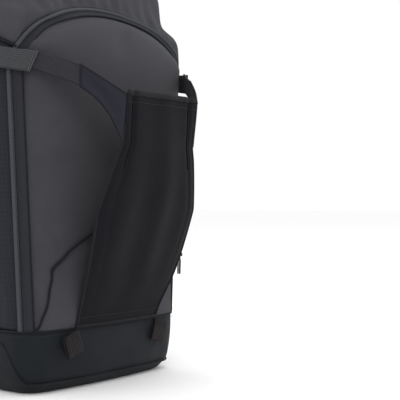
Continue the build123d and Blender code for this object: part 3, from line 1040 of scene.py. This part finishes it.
def makeZip():
    count = int(len(zipLine) * 1.3)
    gap, wideDoor, wideShell, lift = zips["gap"], zips["doorWide"], zips["shellWide"], zips["lift"]

    def outside(c, n):
        return n.y * c.y + n.x * c.x * 0.3

    stripPiece("zipBandDoor", count, 5, lambda u, v: onBand(u, -gap - v * (wideDoor - gap), lift)[0],
               zips["thick"], look["bandDark"], "door", ["zip_tape_door"], outside)
    stripPiece("zipBandShell", count, 4, lambda u, v: onBand(u, gap + v * (wideShell - gap), lift)[0],
               zips["thick"], look["band"], "pack_shell", ["zip_tape_shell"], outside)
    top = lift + zips["thick"]
    edge, _ = bandLine(-wideDoor, lift + 0.0004)
    tubePiece("bandEdgeDoor", edge, 0.0010, look["binding"], "door")
    edge, _ = bandLine(wideShell, lift + 0.0003)
    tubePiece("bandEdgeShell", edge, 0.0008, look["binding"], "pack_shell")
    line, normals = bandLine(-zips["zigzagAt"], top)
    acrosses = []
    for index, normal in enumerate(normals):
        ahead = line[min(index + 1, len(line) - 1)] - line[max(index - 1, 0)]
        acrosses.append(ahead.normalized().cross(normal))
    zigzagRow("bandZigzagDoor", line, normals, acrosses, zips["zigzagWide"], "door")
    line, normals = bandLine(zips["stitchAt"], top)
    stitchRow("bandStitchShell", line, normals, "pack_shell", 0.0030, 0.0021, 0.0005)
    for name, sense, body in (("zipTeethDoor", -1, "door"), ("zipTeethShell", 1, "pack_shell")):
        line, normals = bandLine(sense * zips["teethAt"], top * 0.9)
        frames = []
        for index, (place, along) in enumerate(walk(line, zips["coil"], 0 if sense < 0 else zips["coil"] / 2)):
            pick = min(len(normals) - 1, int(index * zips["coil"] / zips["lineLong"] * len(normals)))
            frames.append(frameOf(place, along.cross(normals[pick]), normals[pick]))
        repeatPiece(name, *zips["tooth"], frames, look["binding"], body, "zip_tape")


makeZip()


# piping along the other seams of the shell

def ringLine(z, lift=0.0, count=120, level=None):
    # a line round the right half of the shell; level(a) gives the height where it isn't flat
    points = []
    for share in np.linspace(0.0, 1.0, count):
        height = z if level is None else level(share)
        points.append(shellPoint(share, height) + shellNormal(share, height) * lift)
    return points


def bothWays(points, closed=True):
    mirrored = [Vector((-p.x, p.y, p.z)) for p in reversed(points)]
    return points + (mirrored[1:-1] if closed else mirrored[1:])


def baseLineZ(a):
    # lower seam of the base: low across the front, rising along the sides
    y = shellPoint(a, 0.02).y
    return 0.012 + 0.040 * softStep((y + 0.078) / 0.03) if y < 0.06 else 0.052


def makePiping():
    seam = bothWays(ringLine(form["seamZ"], lift=0.0006))
    tubePiece("basePiping", seam, 0.0012, look["binding"], "pack_shell",
              closed=True)
    low = ringLine(0, lift=0.0016, level=baseLineZ, count=160)
    tubePiece("baseLowPiping", bothWays(low), 0.0011, look["binding"], "pack_shell", closed=True)
    line = [p + Vector((0, 0, -0.0045)) for p in bothWays(ringLine(form["seamZ"], lift=0.0012), closed=False)]
    stitchRow("baseStitch", line, [Vector((p.x, p.y, 0)).normalized() for p in line], "pack_shell",
              0.0038, 0.0026)
    for word, side in bothSides:
        seam = []
        for v in np.linspace(0, 1, 60):
            p = sidePlace(1.0, v)
            seam.append(Vector((side * p.x, p.y + 0.0006, p.z)))
        tubePiece("backPiping" + word, seam, 0.0014, look["binding"], "pack_shell")
        seam = []
        for u in np.linspace(0.01, 1, 60):
            p = sidePlace(u, 1.0)
            n = sideOut(u, 0.98)
            seam.append(Vector((side * (p.x + n.x * 0.0008), p.y + n.y * 0.0008, p.z)))
        tubePiece("lidPiping" + word, seam, 0.0013, look["binding"], "pack_shell")


makePiping()


# stow pocket for the helmet flap, at the foot of the door

pocket = {"half": 0.1062, "sideHalf": 0.0925, "footZ": 0.067, "sideZ": 0.128, "topZ": 0.176, "lift": 0.0016}
pocketCircle = circleThrough((-pocket["sideHalf"], pocket["sideZ"]), (0, pocket["topZ"]),
                             (pocket["sideHalf"], pocket["sideZ"]))


def pocketPlace(u, v):
    cx, cz, r = pocketCircle
    across = 2 * u - 1
    x = across * pocket["sideHalf"]
    top = cz + math.sqrt(max(0.0, r * r - x * x))
    z = pocket["footZ"] + v * (top - pocket["footZ"])
    rise = min(1, (z - pocket["footZ"]) / (pocket["sideZ"] - pocket["footZ"]))
    x = across * (pocket["half"] + (pocket["sideHalf"] - pocket["half"]) * rise ** 0.6)
    swell = 1 - abs(across) ** 6
    fold = 0.0011 * math.sin(x * 90 + 2 * noise.noise(Vector((x * 20, z * 14, 0)))) * v * v
    return onDoor(x, z, pocket["lift"] + (fold + 0.0012 * v) * swell)


def makePocket():
    patch = clothGrid("stowPocket", 60, 32, pocketPlace)
    facesOut(patch, lambda c, n: -n.y)
    skinOf(patch, 0.0011)
    applyModifier(patch, "SUBSURF", levels=1, render_levels=1)
    finishPiece(patch, "stowPocket", look["pack"], "door", ["stow_pocket"])
    edge = [pocketPlace(u, 1.0) + Vector((0, -0.0004, 0)) for u in np.linspace(0, 1, 70)]
    tubePiece("pocketHem", edge, 0.0015, look["binding"], "door")
    under = [pocketPlace(u, 0.94) + Vector((0, -0.0003, 0)) for u in np.linspace(0.01, 0.99, 70)]
    stitchRow("pocketStitch", under, [frontNormal(p.x, p.z) for p in under], "door")
    for word, u in (("Right", 1.0), ("Left", 0.0)):
        side = [pocketPlace(u, v) for v in np.linspace(0, 1, 30)]
        tubePiece("pocketPiping" + word, side, 0.0013, look["binding"], "door")


makePocket()
print("zip, piping and pocket made")


# helmet carrier: stretch flap, its wings, elastics, side straps

carrier = {
    "root": (-0.104, 0.073), "middle": (-0.148, 0.185), "top": (-0.166, 0.3062),
    "halves": [(0.060, 0.060), (0.073, 0.0625), (0.120, 0.070), (0.190, 0.076), (0.244, 0.061), (0.258, 0.056),
               (0.310, 0.056)],
    "flapThick": 0.0017, "flapLong": 0.2455, "fold": 0.0032, "belly": 0.006, "dart": 0.0028, "curl": 0.004,
    "bendStart": (0, -0.103, 0.072), "bendEnd": (0, -0.118, 0.104),
    "wingStart": (0.0876, -0.1305, 0.325), "wingZs": (0.258, 0.306), "wingHighs": (0.022, 0.050),
    "elasticStart": (0.1205, -0.0948, 0.341), "elasticHighs": (0.020, 0.022),
    "strapPath": [(0.1416, -0.008), (0.1416, -0.066), (0.1205, -0.0945)], "strapZ": 0.345, "strapHigh": 0.0215,
    "strapThick": 0.0016, "strapTurn": 0.020,
    "anchorX": 0.1380, "anchorYs": (0.0436, 0.078), "anchorZ": 0.345, "anchorHigh": 0.024,
}
flapCircle = circleThrough(carrier["root"], carrier["middle"], carrier["top"])


def flapPlace(u, v):
    cy, cz, r = flapCircle
    begin = math.atan2(carrier["root"][1] - cz, carrier["root"][0] - cy)
    stop = math.atan2(carrier["top"][1] - cz, carrier["top"][0] - cy)
    if stop < begin - math.pi:
        stop += 2 * math.pi
    if stop > begin + math.pi:
        stop -= 2 * math.pi
    turn = begin + v * (stop - begin)
    y, z = cy + r * math.cos(turn), cz + r * math.sin(turn)
    heights, halves = zip(*carrier["halves"])
    across = 2 * u - 1
    half = float(np.interp(z, heights, halves))
    x = across * half
    # slack cloth: soft upright folds, a little more belly between the straps, a dart near each side
    free = math.sin(math.pi * min(1.0, v * 1.15)) * 0.7 + 0.3 * v
    fold = math.sin(x * 118 + 1.6 * noise.noise(Vector((x * 12, z * 9, 5)))) * carrier["fold"] * free
    fold *= 1 - 0.75 * abs(across) ** 3
    belly = carrier["belly"] * (1 - across * across) * math.sin(math.pi * v)
    dart = carrier["dart"] * math.exp(-((abs(across) - 0.80) / 0.05) ** 2) * v
    curl = carrier["curl"] * max(0.0, abs(across) - 0.85) / 0.15 * math.sin(math.pi * v)
    out = Vector((0, -1, 0.15)).normalized()
    foot = max(0.0, 1 - v / 0.35) ** 2
    y += (frontPoint(x, z).y - frontPoint(0, z).y) * foot * 0.85
    z -= 0.0045 * max(0.0, 1 - v / 0.05)
    return Vector((x, y, z)) + out * (fold * 0.8 + belly - dart - curl) - out * 0.0012


def makeFlap():
    flap = clothGrid("helmetFlap", 60, 90, flapPlace)
    facesOut(flap, lambda c, n: -n.y)
    skinOf(flap, carrier["flapThick"])
    finishPiece(flap, "helmetFlap", look["flap"], None, ["helmet_flap"])
    across = np.linspace(0, 1, 50)
    hemY = flapPlace(across[25], 1.0).y + 0.0004
    hem = clothGrid("flapHem", 50, 10, hemPlace)
    editMesh(hem, lambda: bpy.ops.mesh.remove_doubles(threshold=0.0001))
    facesOut(hem, lambda c, n: n.z + n.y * (c.y - hemY) * 200)
    finishPiece(hem, "flapHem", look["binding"], "helmet_carrier", ["flap_hem"])

    def line(v, forward):
        return [flapPlace(u, v) + Vector((0, forward, 0)) for u in across]

    hemRow = stitchRow("flapHemStitch", line(0.972, -0.0010), [Vector((0, -1, 0.1)).normalized()],
                       "helmet_carrier", 0.0032)
    tubePiece("flapFoot", line(0.0, 0.0004), 0.0018, look["binding"], "door")
    footRow = stitchRow("flapFootStitch", line(0.03, -0.0012), [Vector((0, -1, 0.3)).normalized()],
                        None, 0.0032)
    edges, darts = [], []
    for word, side in bothSides:
        run = [flapPlace(0.5 + 0.5 * side, v) for v in np.linspace(0, 0.88, 60)]
        edges.append(tubePiece("flapEdge" + word, run, 0.0015, look["binding"], None))
    for word, side in bothSides:
        run = [flapPlace(0.5 + 0.4 * side, v) + Vector((0, -0.0008, 0)) for v in np.linspace(0.70, 0.985, 40)]
        darts.append(tubePiece("flapDart" + word, run, 0.0009, look["flap"], "helmet_carrier"))
    for piece in [flap, footRow] + edges:
        # sewn to the door at the foot, free from there up
        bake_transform(piece)


def hemPlace(u, v):
    # folded hem: a flattened roll along the flap's upper edge
    turn = 2 * math.pi * v
    rim = flapPlace(u, 1.0)
    full = min(1.0, min(u, 1 - u) / 0.04) ** 0.5  # its ends are pinched shut
    y, z = 0.0020 * full * math.cos(turn) + 0.0003, 0.0032 * full * math.sin(turn) + 0.0029 * full
    return rim + Vector((0, y, z))


def flapSide(z):
    # the flap's side edge at this height
    v = (z - carrier["root"][1]) / (carrier["top"][1] - carrier["root"][1])
    for _ in range(6):
        v += (z - flapPlace(1.0, v).z) / 0.24
    return flapPlace(1.0, min(v, 1.0))


wingEdge = [flapSide(z) for z in np.linspace(*carrier["wingZs"], 13)]


def wingPlace(u, v):
    # narrow until near the flap, then flaring down its side seam
    start = Vector(carrier["wingStart"])
    first, last = carrier["wingHighs"]
    start.z += (v - 0.5) * first
    end = runPlace(wingEdge, v)[0] + Vector((0.0004, 0, 0.0003))
    p = start.lerp(end, u)
    p.z += (1 - v) * (last - first) * (u - u ** 3.2)
    ripple = 0.0016 * math.sin(v * 7 + u * 2.2) * math.sin(math.pi * u)
    return p + Vector((0.70, -0.70, 0)) * ripple


def elasticPlace(u, v):
    pinch = 1 - 0.05 * math.sin(math.pi * u)
    first, last = carrier["elasticHighs"]
    p = Vector(carrier["elasticStart"]).lerp(Vector(carrier["wingStart"]), u)
    p.z += (v - 0.5) * pinch * (first + (last - first) * u)
    return p


def roundedRun(points, radius, step=0.002):
    # a flat run with its inner corners rounded
    points = [Vector((*p, 0)) if len(p) == 2 else Vector(p) for p in points]
    run = [points[0]]
    for before, here, after in zip(points, points[1:], points[2:]):
        back, ahead = (before - here).normalized(), (after - here).normalized()
        opening = back.angle(ahead)
        reach = min(radius / math.tan(opening / 2), (before - here).length * 0.48, (after - here).length * 0.48)
        start, stop = here + back * reach, here + ahead * reach
        for share in np.linspace(0, 1, 9):
            run.append(start.lerp(here, share).lerp(here.lerp(stop, share), share))
    run.append(points[-1])
    marks = walk(run, step)
    return [m[0] for m in marks] + [run[-1]]


def runPlace(run, u):
    where = u * (len(run) - 1)
    low = min(int(where), len(run) - 2)
    return run[low].lerp(run[low + 1], where - low), (run[low + 1] - run[low]).normalized()


strapRun = roundedRun(carrier["strapPath"], carrier["strapTurn"])


def strapPlace(u, v):
    # level webbing round the corner of the pack; its end lies over the elastic, cut on a slant
    p, along = runPlace(strapRun, u)
    late = max(0.0, (u - 0.86) / 0.14)
    out = Vector((along.y, -along.x, 0))
    out = out if out.x > 0 else -out
    p = p + along * (0.010 * (v - 0.5) + 0.004) * late + out * 0.0019 * min(1.0, late * 2)
    p.z = carrier["strapZ"] + (v - 0.5) * carrier["strapHigh"] - 0.007 * max(0.0, (u - 0.5) / 0.5)
    return p


def tackRows(name, place, along, up, normal, high, rows, body, thick=0.0008, thread="stitch"):
    # bar tacks: close upright rows of thread
    slant = (along + up * 0.25).normalized()
    frames = []
    for row in rows:
        middle = place + along * row + normal * 0.0003
        for step in np.arange(-high / 2, high / 2 + 1e-6, 0.0011):
            frames.append(frameOf(middle + up * step, slant, normal))
    return repeatPiece(name, 0.0026, thick, thick, frames, look[thread], body, "binding")


def makeCarrierStraps():
    def outside(c, n):
        return n.y * c.y + n.x * c.x

    start, end = Vector(carrier["elasticStart"]), Vector(carrier["wingStart"])
    foot, last = [Vector((carrier["anchorX"], y, carrier["anchorZ"])) for y in carrier["anchorYs"]]

    def anchorPlace(u, v):
        return foot.lerp(last, u) + Vector((0, 0, (v - 0.5) * carrier["anchorHigh"]))

    for word, side in bothSides:
        turned = side < 0
        low = word.lower()
        flip = Vector((side, 1, 1))
        stripPiece("flapWing" + word, 26, 20, wingPlace, 0.0017, look["wing"], "helmet_carrier",
                   ["flap_wing_" + low], outside, turned)
        stripPiece("elasticStrap" + word, 60, 8, elasticPlace, 0.0016, look["elastic"], "helmet_carrier",
                   ["elastic_strap_" + low], outside, turned)
        stripPiece("sideStrap" + word, 90, 8, strapPlace, carrier["strapThick"], look["webbing"],
                   "helmet_carrier", ["side_strap_" + low], outside, turned)
        along = (end - start).normalized() * flip
        normal = Vector((along.y, -along.x, 0)).normalized()
        normal = normal if normal.y < 0 else -normal
        # two rows of stitches at the strap's end
        out = Vector((0.62, -0.78, 0))
        for row, share in enumerate((0.965, 0.985)):
            frames = []
            for v in np.linspace(0.06, 0.94, 22):
                here, ahead = strapPlace(share, v), strapPlace(share, v + 0.05)
                p = (here + out * (carrier["strapThick"] + 0.0006)) * flip
                frames.append(frameOf(p, (ahead - here).normalized() * flip, out * flip))
            repeatPiece("strapTack%s%d" % (word, row), 0.0012, 0.0012, 0.0009, frames, look["stitch"],
                        "helmet_carrier", "binding")
        tackRows("wingTack" + word, end * flip + normal * 0.0019, along, Vector((0, 0, 1)), normal, 0.019,
                 (0.0008,), "helmet_carrier", 0.0006, "thread")
        for edge, seam, rim in (("Top", 0.97, 1.0), ("Foot", 0.03, 0.0)):
            line = [wingPlace(u, seam) * flip + normal * 0.0020 for u in np.linspace(0.02, 0.98, 30)]
            stitchRow("wingStitch" + edge + word, line, [normal], "helmet_carrier", 0.0032, 0.0022, 0.0005)
            line = [wingPlace(u, rim) * flip + normal * 0.0009 for u in np.linspace(0, 1, 30)]
            tubePiece("wingEdge" + edge + word, line, 0.0011, look["binding"], "helmet_carrier")
        stripPiece("strapAnchor" + word, 20, 6, anchorPlace, 0.0016, look["webbing"], "pack_shell",
                   ["strap_anchors"] if side > 0 else (), lambda c, n: n.x * c.x, turned)


makeFlap()
makeCarrierStraps()
print("helmet carrier made")


# padded pieces: copies of the frame's solids, swollen by a short cloth simulation

pads = {
    "voxel": 0.005, "start": -0.0012, "faceY": 0.088,
    "levels": (0.216, 0.257, 0.298, 0.339, 0.380), "uprights": (-0.042, 0.0, 0.042),
    "backPad": {"pressure": 4.0, "cap": 0.004, "fill": 0.8, "piping": 0.0016},
    "lumbarPad": {"pressure": 4.0, "cap": 0.005, "fill": 0.8, "piping": 0.0018},
    "shoulderStrap": {"pressure": 3.0, "cap": 0.0035, "fill": 0.75},
    "hipWing": {"pressure": 3.0, "cap": 0.0035, "fill": 0.75},
}


def padFrom(nodeName, name, values, material, body, groove=None):
    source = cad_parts[nodeName]
    mesh = source.data.copy()
    piece = bpy.data.objects.new(name, mesh)
    bpy.context.scene.collection.objects.link(piece)
    piece.data.materials.clear()
    editMesh(piece, lambda: bpy.ops.mesh.remove_doubles(threshold=0.00005))
    applyModifier(piece, "REMESH", mode="VOXEL", voxel_size=pads["voxel"], use_smooth_shade=True)
    normals = [v.normal.copy() for v in piece.data.vertices]
    for vertex, normal in zip(piece.data.vertices, normals):
        vertex.co += normal * pads["start"]
    piece.data.update()
    settleCloth(piece, 0.0, values["pressure"], values["cap"], held=[], bending=0.8)
    if groove is not None:
        addFolds(piece, groove)
    applyModifier(piece, "SUBSURF", levels=1, render_levels=1)
    finishPiece(piece, name, material, body, [nodeName])
    return piece


def channel(distance, wide, deep):
    return -deep * math.exp(-(distance / wide) ** 2)


def roundedOutline(cx, cz, halfX, halfZ, radius, y, count=10):
    points = []
    for qx, qz, start in ((1, 1, 0), (-1, 1, 90), (-1, -1, 180), (1, -1, 270)):
        for step in range(count + 1):
            turn = math.radians(start + 90 * step / count)
            points.append(Vector((cx + qx * (halfX - radius) + radius * math.cos(turn), y,
                                  cz + qz * (halfZ - radius) + radius * math.sin(turn))))
    return points


def makeBackPads():
    def levelGrooves(p):
        return sum(channel(p.z - z, 0.0035, 0.0028) for z in pads["levels"]) if p.y > pads["faceY"] else 0.0

    def uprightGrooves(p):
        return sum(channel(p.x - x, 0.004, 0.0032) for x in pads["uprights"]) if p.y > pads["faceY"] else 0.0

    for word, side in bothSides:
        padFrom("back_pad_" + word.lower(), "backPad" + word, pads["backPad"], look["mesh"], "pack_shell",
                levelGrooves)
        edge = roundedOutline(side * 0.055, 0.298, 0.0325, 0.1235, 0.018, 0.0872)
        tubePiece("backPadPiping" + word, edge, pads["backPad"]["piping"], look["binding"], "pack_shell",
                  closed=True)
    padFrom("lumbar_pad", "lumbarPad", pads["lumbarPad"], look["mesh"], "pack_shell",
            uprightGrooves)
    edge = roundedOutline(0, 0.120, 0.0845, 0.0465, 0.022, 0.0876)
    tubePiece("lumbarPiping", edge, pads["lumbarPad"]["piping"], look["binding"], "pack_shell", closed=True)


harness = {
    "strapX": 0.062, "strapHalf": 0.029, "strapThick": 0.014,
    "strapPath": [
        (0.092, 0.437), (0.118, 0.476), (0.172, 0.452), (0.188, 0.380), (0.188, 0.250), (0.152, 0.202),
    ],
    "strapTurn": 0.024, "faceWide": 0.020, "edge": 0.0026,
    "hipPath": [(0.106, 0.097), (0.134, 0.104), (0.146, 0.140), (0.152, 0.215)],
    "hipZ": 0.100, "hipHalf": 0.038,
    "hipThick": 0.010, "hipFace": 0.057, "hipEdge": 0.0030,
    "gusset": [(0.074, 0.0905), (0.092, 0.0915), (0.108, 0.0955), (0.128, 0.1005)], "gussetHigh": 0.066,
}


def makeShoulderStraps():
    run = roundedRun([Vector((0, y, z)) for y, z in harness["strapPath"]], harness["strapTurn"], 0.004)
    outs = []
    for u in np.linspace(0, 1, len(run)):
        along = runPlace(run, float(u))[1]
        outs.append(Vector((0, along.z, -along.y)) if along.z < 0 else Vector((0, -along.z, along.y)))
    # outward: away from the wearer, on the outside of the strap's curve
    middle = Vector((0, 0.120, 0.330))
    for index, point in enumerate(run):
        if outs[index].dot(point - middle) < 0:
            outs[index] = -outs[index]
    for word, side in bothSides:
        low = word.lower()
        middleX = side * harness["strapX"]
        padFrom("shoulder_strap_" + low, "shoulderStrap" + word, pads["shoulderStrap"], look["mesh"],
                "pack_shell")
        for name, shift in (("Outer", 1), ("Inner", -1)):
            line = [p + Vector((middleX + shift * (harness["strapHalf"] - 0.0010), 0, 0)) for p in run]
            tubePiece("shoulderEdge" + name + word, line, harness["edge"], look["binding"], "pack_shell")
        rise = harness["strapThick"] / 2 + 0.0028

        def facePlace(u, v):
            o = outs[int(u * (len(outs) - 1) + 0.5)]
            return runPlace(run, u)[0] + o * rise + Vector((middleX + (v - 0.5) * harness["faceWide"], 0, 0))

        stripPiece("shoulderWebbing" + word, 110, 6, facePlace, 0.0014, look["narrow"], "pack_shell", (),
                   lambda c, n: n.y * (c.y - middle.y) + n.z * (c.z - middle.z))
        for share in (0.16, 0.30, 0.44, 0.58, 0.72, 0.86):
            p, along = runPlace(run, share)
            o = outs[int(share * (len(outs) - 1) + 0.5)]
            place = p + o * (rise + 0.0016) + Vector((middleX, 0, 0))
            tackRows("shoulderTack%s%d" % (word, int(share * 100)), place, along, Vector((1, 0, 0)), o, 0.017,
                     (0.0,), "pack_shell", 0.0006)


def makeHipWings():
    run = roundedRun([Vector((x, y, 0)) for x, y in harness["hipPath"]], 0.024, 0.004)
    for word, side in bothSides:
        low = word.lower()
        body = "belt_wing_" + low
        padFrom("hip_wing_" + low, "hipWing" + word, pads["hipWing"], look["mesh"], body,
                lambda p: channel(p.z - 0.113, 0.003, 0.0018) + channel(p.z - 0.087, 0.003, 0.0018))
        reach = harness["hipHalf"] - 0.0012
        rim = [Vector((side * p.x, p.y, harness["hipZ"] + reach)) for p in run]
        rim += [Vector((side * p.x, p.y, harness["hipZ"] - reach)) for p in reversed(run)]
        tubePiece("hipEdge" + word, rim, harness["hipEdge"], look["binding"], body, closed=True)
        gusset = roundedRun([Vector((x, y, 0)) for x, y in harness["gusset"]], 0.012, 0.002)

        def gussetPlace(u, v):
            high = harness["gussetHigh"] * (1 - 0.10 * u)
            return runPlace(gusset, u)[0] + Vector((0, 0, harness["hipZ"] + (v - 0.5) * high))

        patch = clothGrid("hipGusset" + word, 24, 16, gussetPlace)
        if side < 0:
            swapSides(patch)
        facesOut(patch, lambda c, n: -n.y)
        skinOf(patch, 0.0035)
        finishPiece(patch, "hipGusset" + word, look["side"], None, ())
        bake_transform(patch)

        def outerPlace(u, v):
            p, along = runPlace(run, 0.06 + u * 0.90)
            out = Vector((along.y, -along.x, 0)) * (harness["hipThick"] / 2 + 0.0026)
            return p + out + Vector((0, 0, harness["hipZ"] + (v - 0.5) * harness["hipFace"]))

        stripPiece("hipFace" + word, 60, 16, outerPlace, 0.0009, look["side"], body, (),
                   lambda c, n: n.x * c.x, side < 0)
        for name, v in (("Top", 0.95), ("Foot", 0.05)):
            line = [outerPlace(u, v) for u in np.linspace(0.02, 0.98, 60)]
            line = [Vector((side * (p.x + 0.0012), p.y, p.z)) for p in line]
            stitchRow("hipStitch" + name + word, line, [Vector((side, 0, 0))], body, 0.0036, 0.0026)


makeBackPads()
makeShoulderStraps()
makeHipWings()
print("pads, shoulder straps and hip wings made")


# webbing of the harness, haul loop, tool loops and the sleeve inside

webs = {
    "thick": 0.0016,
    "beltStart": (0.154193, 0.164665), "beltEnd": (0.162008, 0.262353), "beltHigh": 0.038,
    "loopMiddle": (0.068, -0.1005, 0.050), "loopTilt": math.radians(18), "loopWide": 0.022, "loopDeep": 0.0055,
    "loopHigh": 0.026,
}


def flatRun(name, start, end, acrossDir, wide, material, body, nodes, mirrorIt=False):
    start, end, across = Vector(start), Vector(end), Vector(acrossDir)
    normal = (end - start).cross(across).normalized()
    faceOut = normal * Vector((-1 if mirrorIt else 1, 1, 1))

    def place(u, v):
        return start.lerp(end, u) + across * ((v - 0.5) * wide) - normal * (webs["thick"] / 2)

    stripPiece(name, 40, 6, place, webs["thick"], material, body, nodes,
               lambda c, n: n.dot(faceOut), mirrorIt)


def makeHarnessWebbing():
    x = harness["strapX"]
    for word, side in bothSides:
        low = word.lower()
        turned = side < 0
        flatRun("loadLifter" + word, (x, 0.0805, 0.489), (x, 0.137, 0.4794), (1, 0, 0), 0.020, look["narrow"],
                "pack_shell", ["load_lifter_" + low], turned)
        flatRun("lowerWebbing" + word, (0.0735, 0.126, 0.178), (0.106, 0.094, 0.151),
                Vector((0.55, 0.66, -0.10)).normalized(), 0.020, look["narrow"], "pack_shell",
                ["lower_webbing_" + low], turned)
        flatRun("hipWebbing" + word, (*webs["beltStart"], 0.100), (*webs["beltEnd"], 0.100), (0, 0, 1),
                webs["beltHigh"], look["belt"], "belt_wing_" + low, ["hip_webbing_" + low], turned)
    for word, ends in (("Right", (0.0204, 0.0528)), ("Left", (-0.0528, -0.0184))):
        flatRun("sternumWebbing" + word, (ends[0], 0.1994, 0.312), (ends[1], 0.1994, 0.312), (0, 0, 1), 0.018,
                look["loop"], "sternum_strap", ["sternum_webbing"] if word == "Right" else ())


def loopPlace(side):
    def place(u, v):
        # one turn of folded webbing: a flat ring, its lower end sewn into the seam
        turn, tilt = 2 * math.pi * u, side * webs["loopTilt"]
        c, s = math.cos(turn), math.sin(turn)
        x = (v - 0.5) * webs["loopWide"]
        y = (webs["loopDeep"] / 2 - 0.0009) * math.copysign(abs(c) ** 0.72, c)
        z = (webs["loopHigh"] / 2 - 0.0009) * math.copysign(abs(s) ** 0.9, s)
        turned = Vector((x * math.cos(tilt) + z * math.sin(tilt), y, z * math.cos(tilt) - x * math.sin(tilt)))
        return turned + Vector(webs["loopMiddle"]) * Vector((side, 1, 1))
    return place


def makeLoops():
    mid = Vector(webs["loopMiddle"])
    for word, side in bothSides:
        loop = clothGrid("toolLoop" + word, 64, 8, loopPlace(side))
        editMesh(loop, lambda: bpy.ops.mesh.remove_doubles(threshold=0.00004))
        facesOut(loop, lambda c, n: n.y * (c.y - mid.y))
        skinOf(loop, 0.0017)
        finishPiece(loop, "toolLoop" + word, look["loop"], "pack_shell", ["tool_loop_" + word.lower()])
        tackRows("toolLoopTack" + word, Vector((side * (mid.x + 0.0034), mid.y - 0.0031, mid.z + 0.0100)),
                 Vector((0.31 * side, 0, 0.95)), Vector((0.95, 0, -0.31 * side)), Vector((0, -1, 0)), 0.016,
                 (-0.0015, 0.0012), "pack_shell", 0.0008, "thread")


haul = {
    "half": 0.040, "rootZ": 0.4935, "pivotZ": 0.5005, "topZ": 0.530,
    "y": 0.084, "wide": 0.0105, "thick": 0.0030,
    "tabWide": 0.012, "tabLong": 0.0095, "tabRise": 0.0034, "tabFoot": (0.0795, 0.4885),
}


def haulPlace(u, v):
    # arch of doubled webbing from tab to tab
    turn = math.pi * u
    c, s = math.cos(turn), math.sin(turn)
    x = (haul["half"] - haul["thick"] / 2) * math.copysign(abs(c) ** 0.55, c)
    z = haul["rootZ"] + (haul["topZ"] - haul["rootZ"] - haul["thick"] / 2) * abs(s) ** 0.55
    return Vector((x, haul["y"] + (v - 0.5) * haul["wide"], z))


def makeHaulLoop():
    loop = clothGrid("haulLoop", 90, 8, haulPlace)
    middle = Vector((0, haul["y"], 0.510))
    facesOut(loop, lambda c, n: n.x * c.x + n.z * (c.z - middle.z))
    skinOf(loop, haul["thick"] * 0.9)
    finishPiece(loop, "haulLoop", look["webbing"], None, ["grab_handle"])
    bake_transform(loop)
    for word, side in bothSides:
        def tabPlace(u, v):
            y, z = haul["tabFoot"]
            x = side * haul["half"] + (v - 0.5) * haul["tabWide"]
            return Vector((x, y + u * haul["tabLong"], z + haul["tabRise"] * u))

        tab = clothGrid("haulTab" + word, 14, 8, tabPlace)
        facesOut(tab, lambda c, n: n.z)
        skinOf(tab, 0.0018, inward=False)
        finishPiece(tab, "haulTab" + word, look["narrow"], "pack_shell", ["handle_tabs"] if side > 0 else ())


def makeTopZip():
    def tape(u, v):
        return Vector((-0.062 + 0.124 * u, 0.022 + 0.014 * v, 0.5205))
    stripPiece("topZipTape", 80, 10, tape, 0.0011, look["bandDark"], "pack_shell", ["top_zip_tape"],
               lambda c, n: n.z)
    up = Vector((0, 0, 1))
    frames = [frameOf(Vector((x, 0.029 + 0.0004 * (-1) ** i, 0.5219)), Vector((0, 1, 0)), up)
              for i, x in enumerate(np.arange(-0.060, 0.0601, 0.0014))]
    repeatPiece("topZipTeeth", 0.0030, 0.0012, 0.0010, frames, look["binding"], "pack_shell", "zip_tape")
    for name, y in (("Front", 0.0240), ("Back", 0.0340)):
        line = [Vector((x, y, 0.5218)) for x in (-0.060, 0.0, 0.060)]
        stitchRow("topZipStitch" + name, line, [up], "pack_shell", 0.0034)


def makeSleeve():
    def place(u, v):
        across = 2 * u - 1
        belly = 0.0016 * (1 - across ** 4) * math.sin(math.pi * v)
        fold = 0.0007 * noise.noise(Vector((across * 3, v * 4, 2)))
        return Vector((across * 0.084, 0.0752 - belly - fold, 0.070 + 0.250 * v))
    sleeve = clothGrid("toolSleeve", 40, 60, place)
    facesOut(sleeve, lambda c, n: -n.y)
    skinOf(sleeve, 0.0009)
    finishPiece(sleeve, "toolSleeve", look["lining"], "pack_shell", ["tool_sleeve"])
    rim = [place(u, 1.0) for u in np.linspace(0, 1, 40)]
    tubePiece("sleeveHem", rim, 0.0016, look["binding"], "pack_shell")


makeHarnessWebbing()
makeLoops()
makeHaulLoop()
makeTopZip()
makeSleeve()
print("webbing, loops and sleeve made")


# hard parts of the frame keep their shape and get softened edges and their own finish

hardParts = {
    "plastic": (0.0005, ["strap_buckle_male_left", "strap_buckle_male_right", "strap_buckle_female_left",
                         "strap_buckle_female_right", "ladder_lock_left", "ladder_lock_right",
                         "load_lifter_lock_left", "load_lifter_lock_right", "sternum_buckle", "sternum_glides",
                         "hip_buckle_female_left", "hip_buckle_male_right", "sternum_rails"]),
    "zipMetal": (0.0003, ["zip_slider_upper", "zip_slider_lower", "zip_puller_upper", "zip_puller_lower",
                          "top_zip_slider", "top_zip_puller"]),
    "sheet": (0.0004, ["frame_sheet"]),
    "stay": (0.0005, ["frame_stays"]),
}


def finishHardParts():
    for finish, (soft, names) in hardParts.items():
        for name in names:
            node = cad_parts[name]
            node.data.materials.clear()
            node.data.materials.append(look[finish])
            weld = node.modifiers.new("weld", "WELD")
            weld.merge_threshold = 0.00003
            bevel = node.modifiers.new("bevel", "BEVEL")
            bevel.width = soft
            bevel.segments = 2
            bevel.limit_method = "ANGLE"
            bevel.angle_limit = math.radians(35)
            bevel.harden_normals = False
            bevel.use_clamp_overlap = True


finishHardParts()
print("hard parts finished")
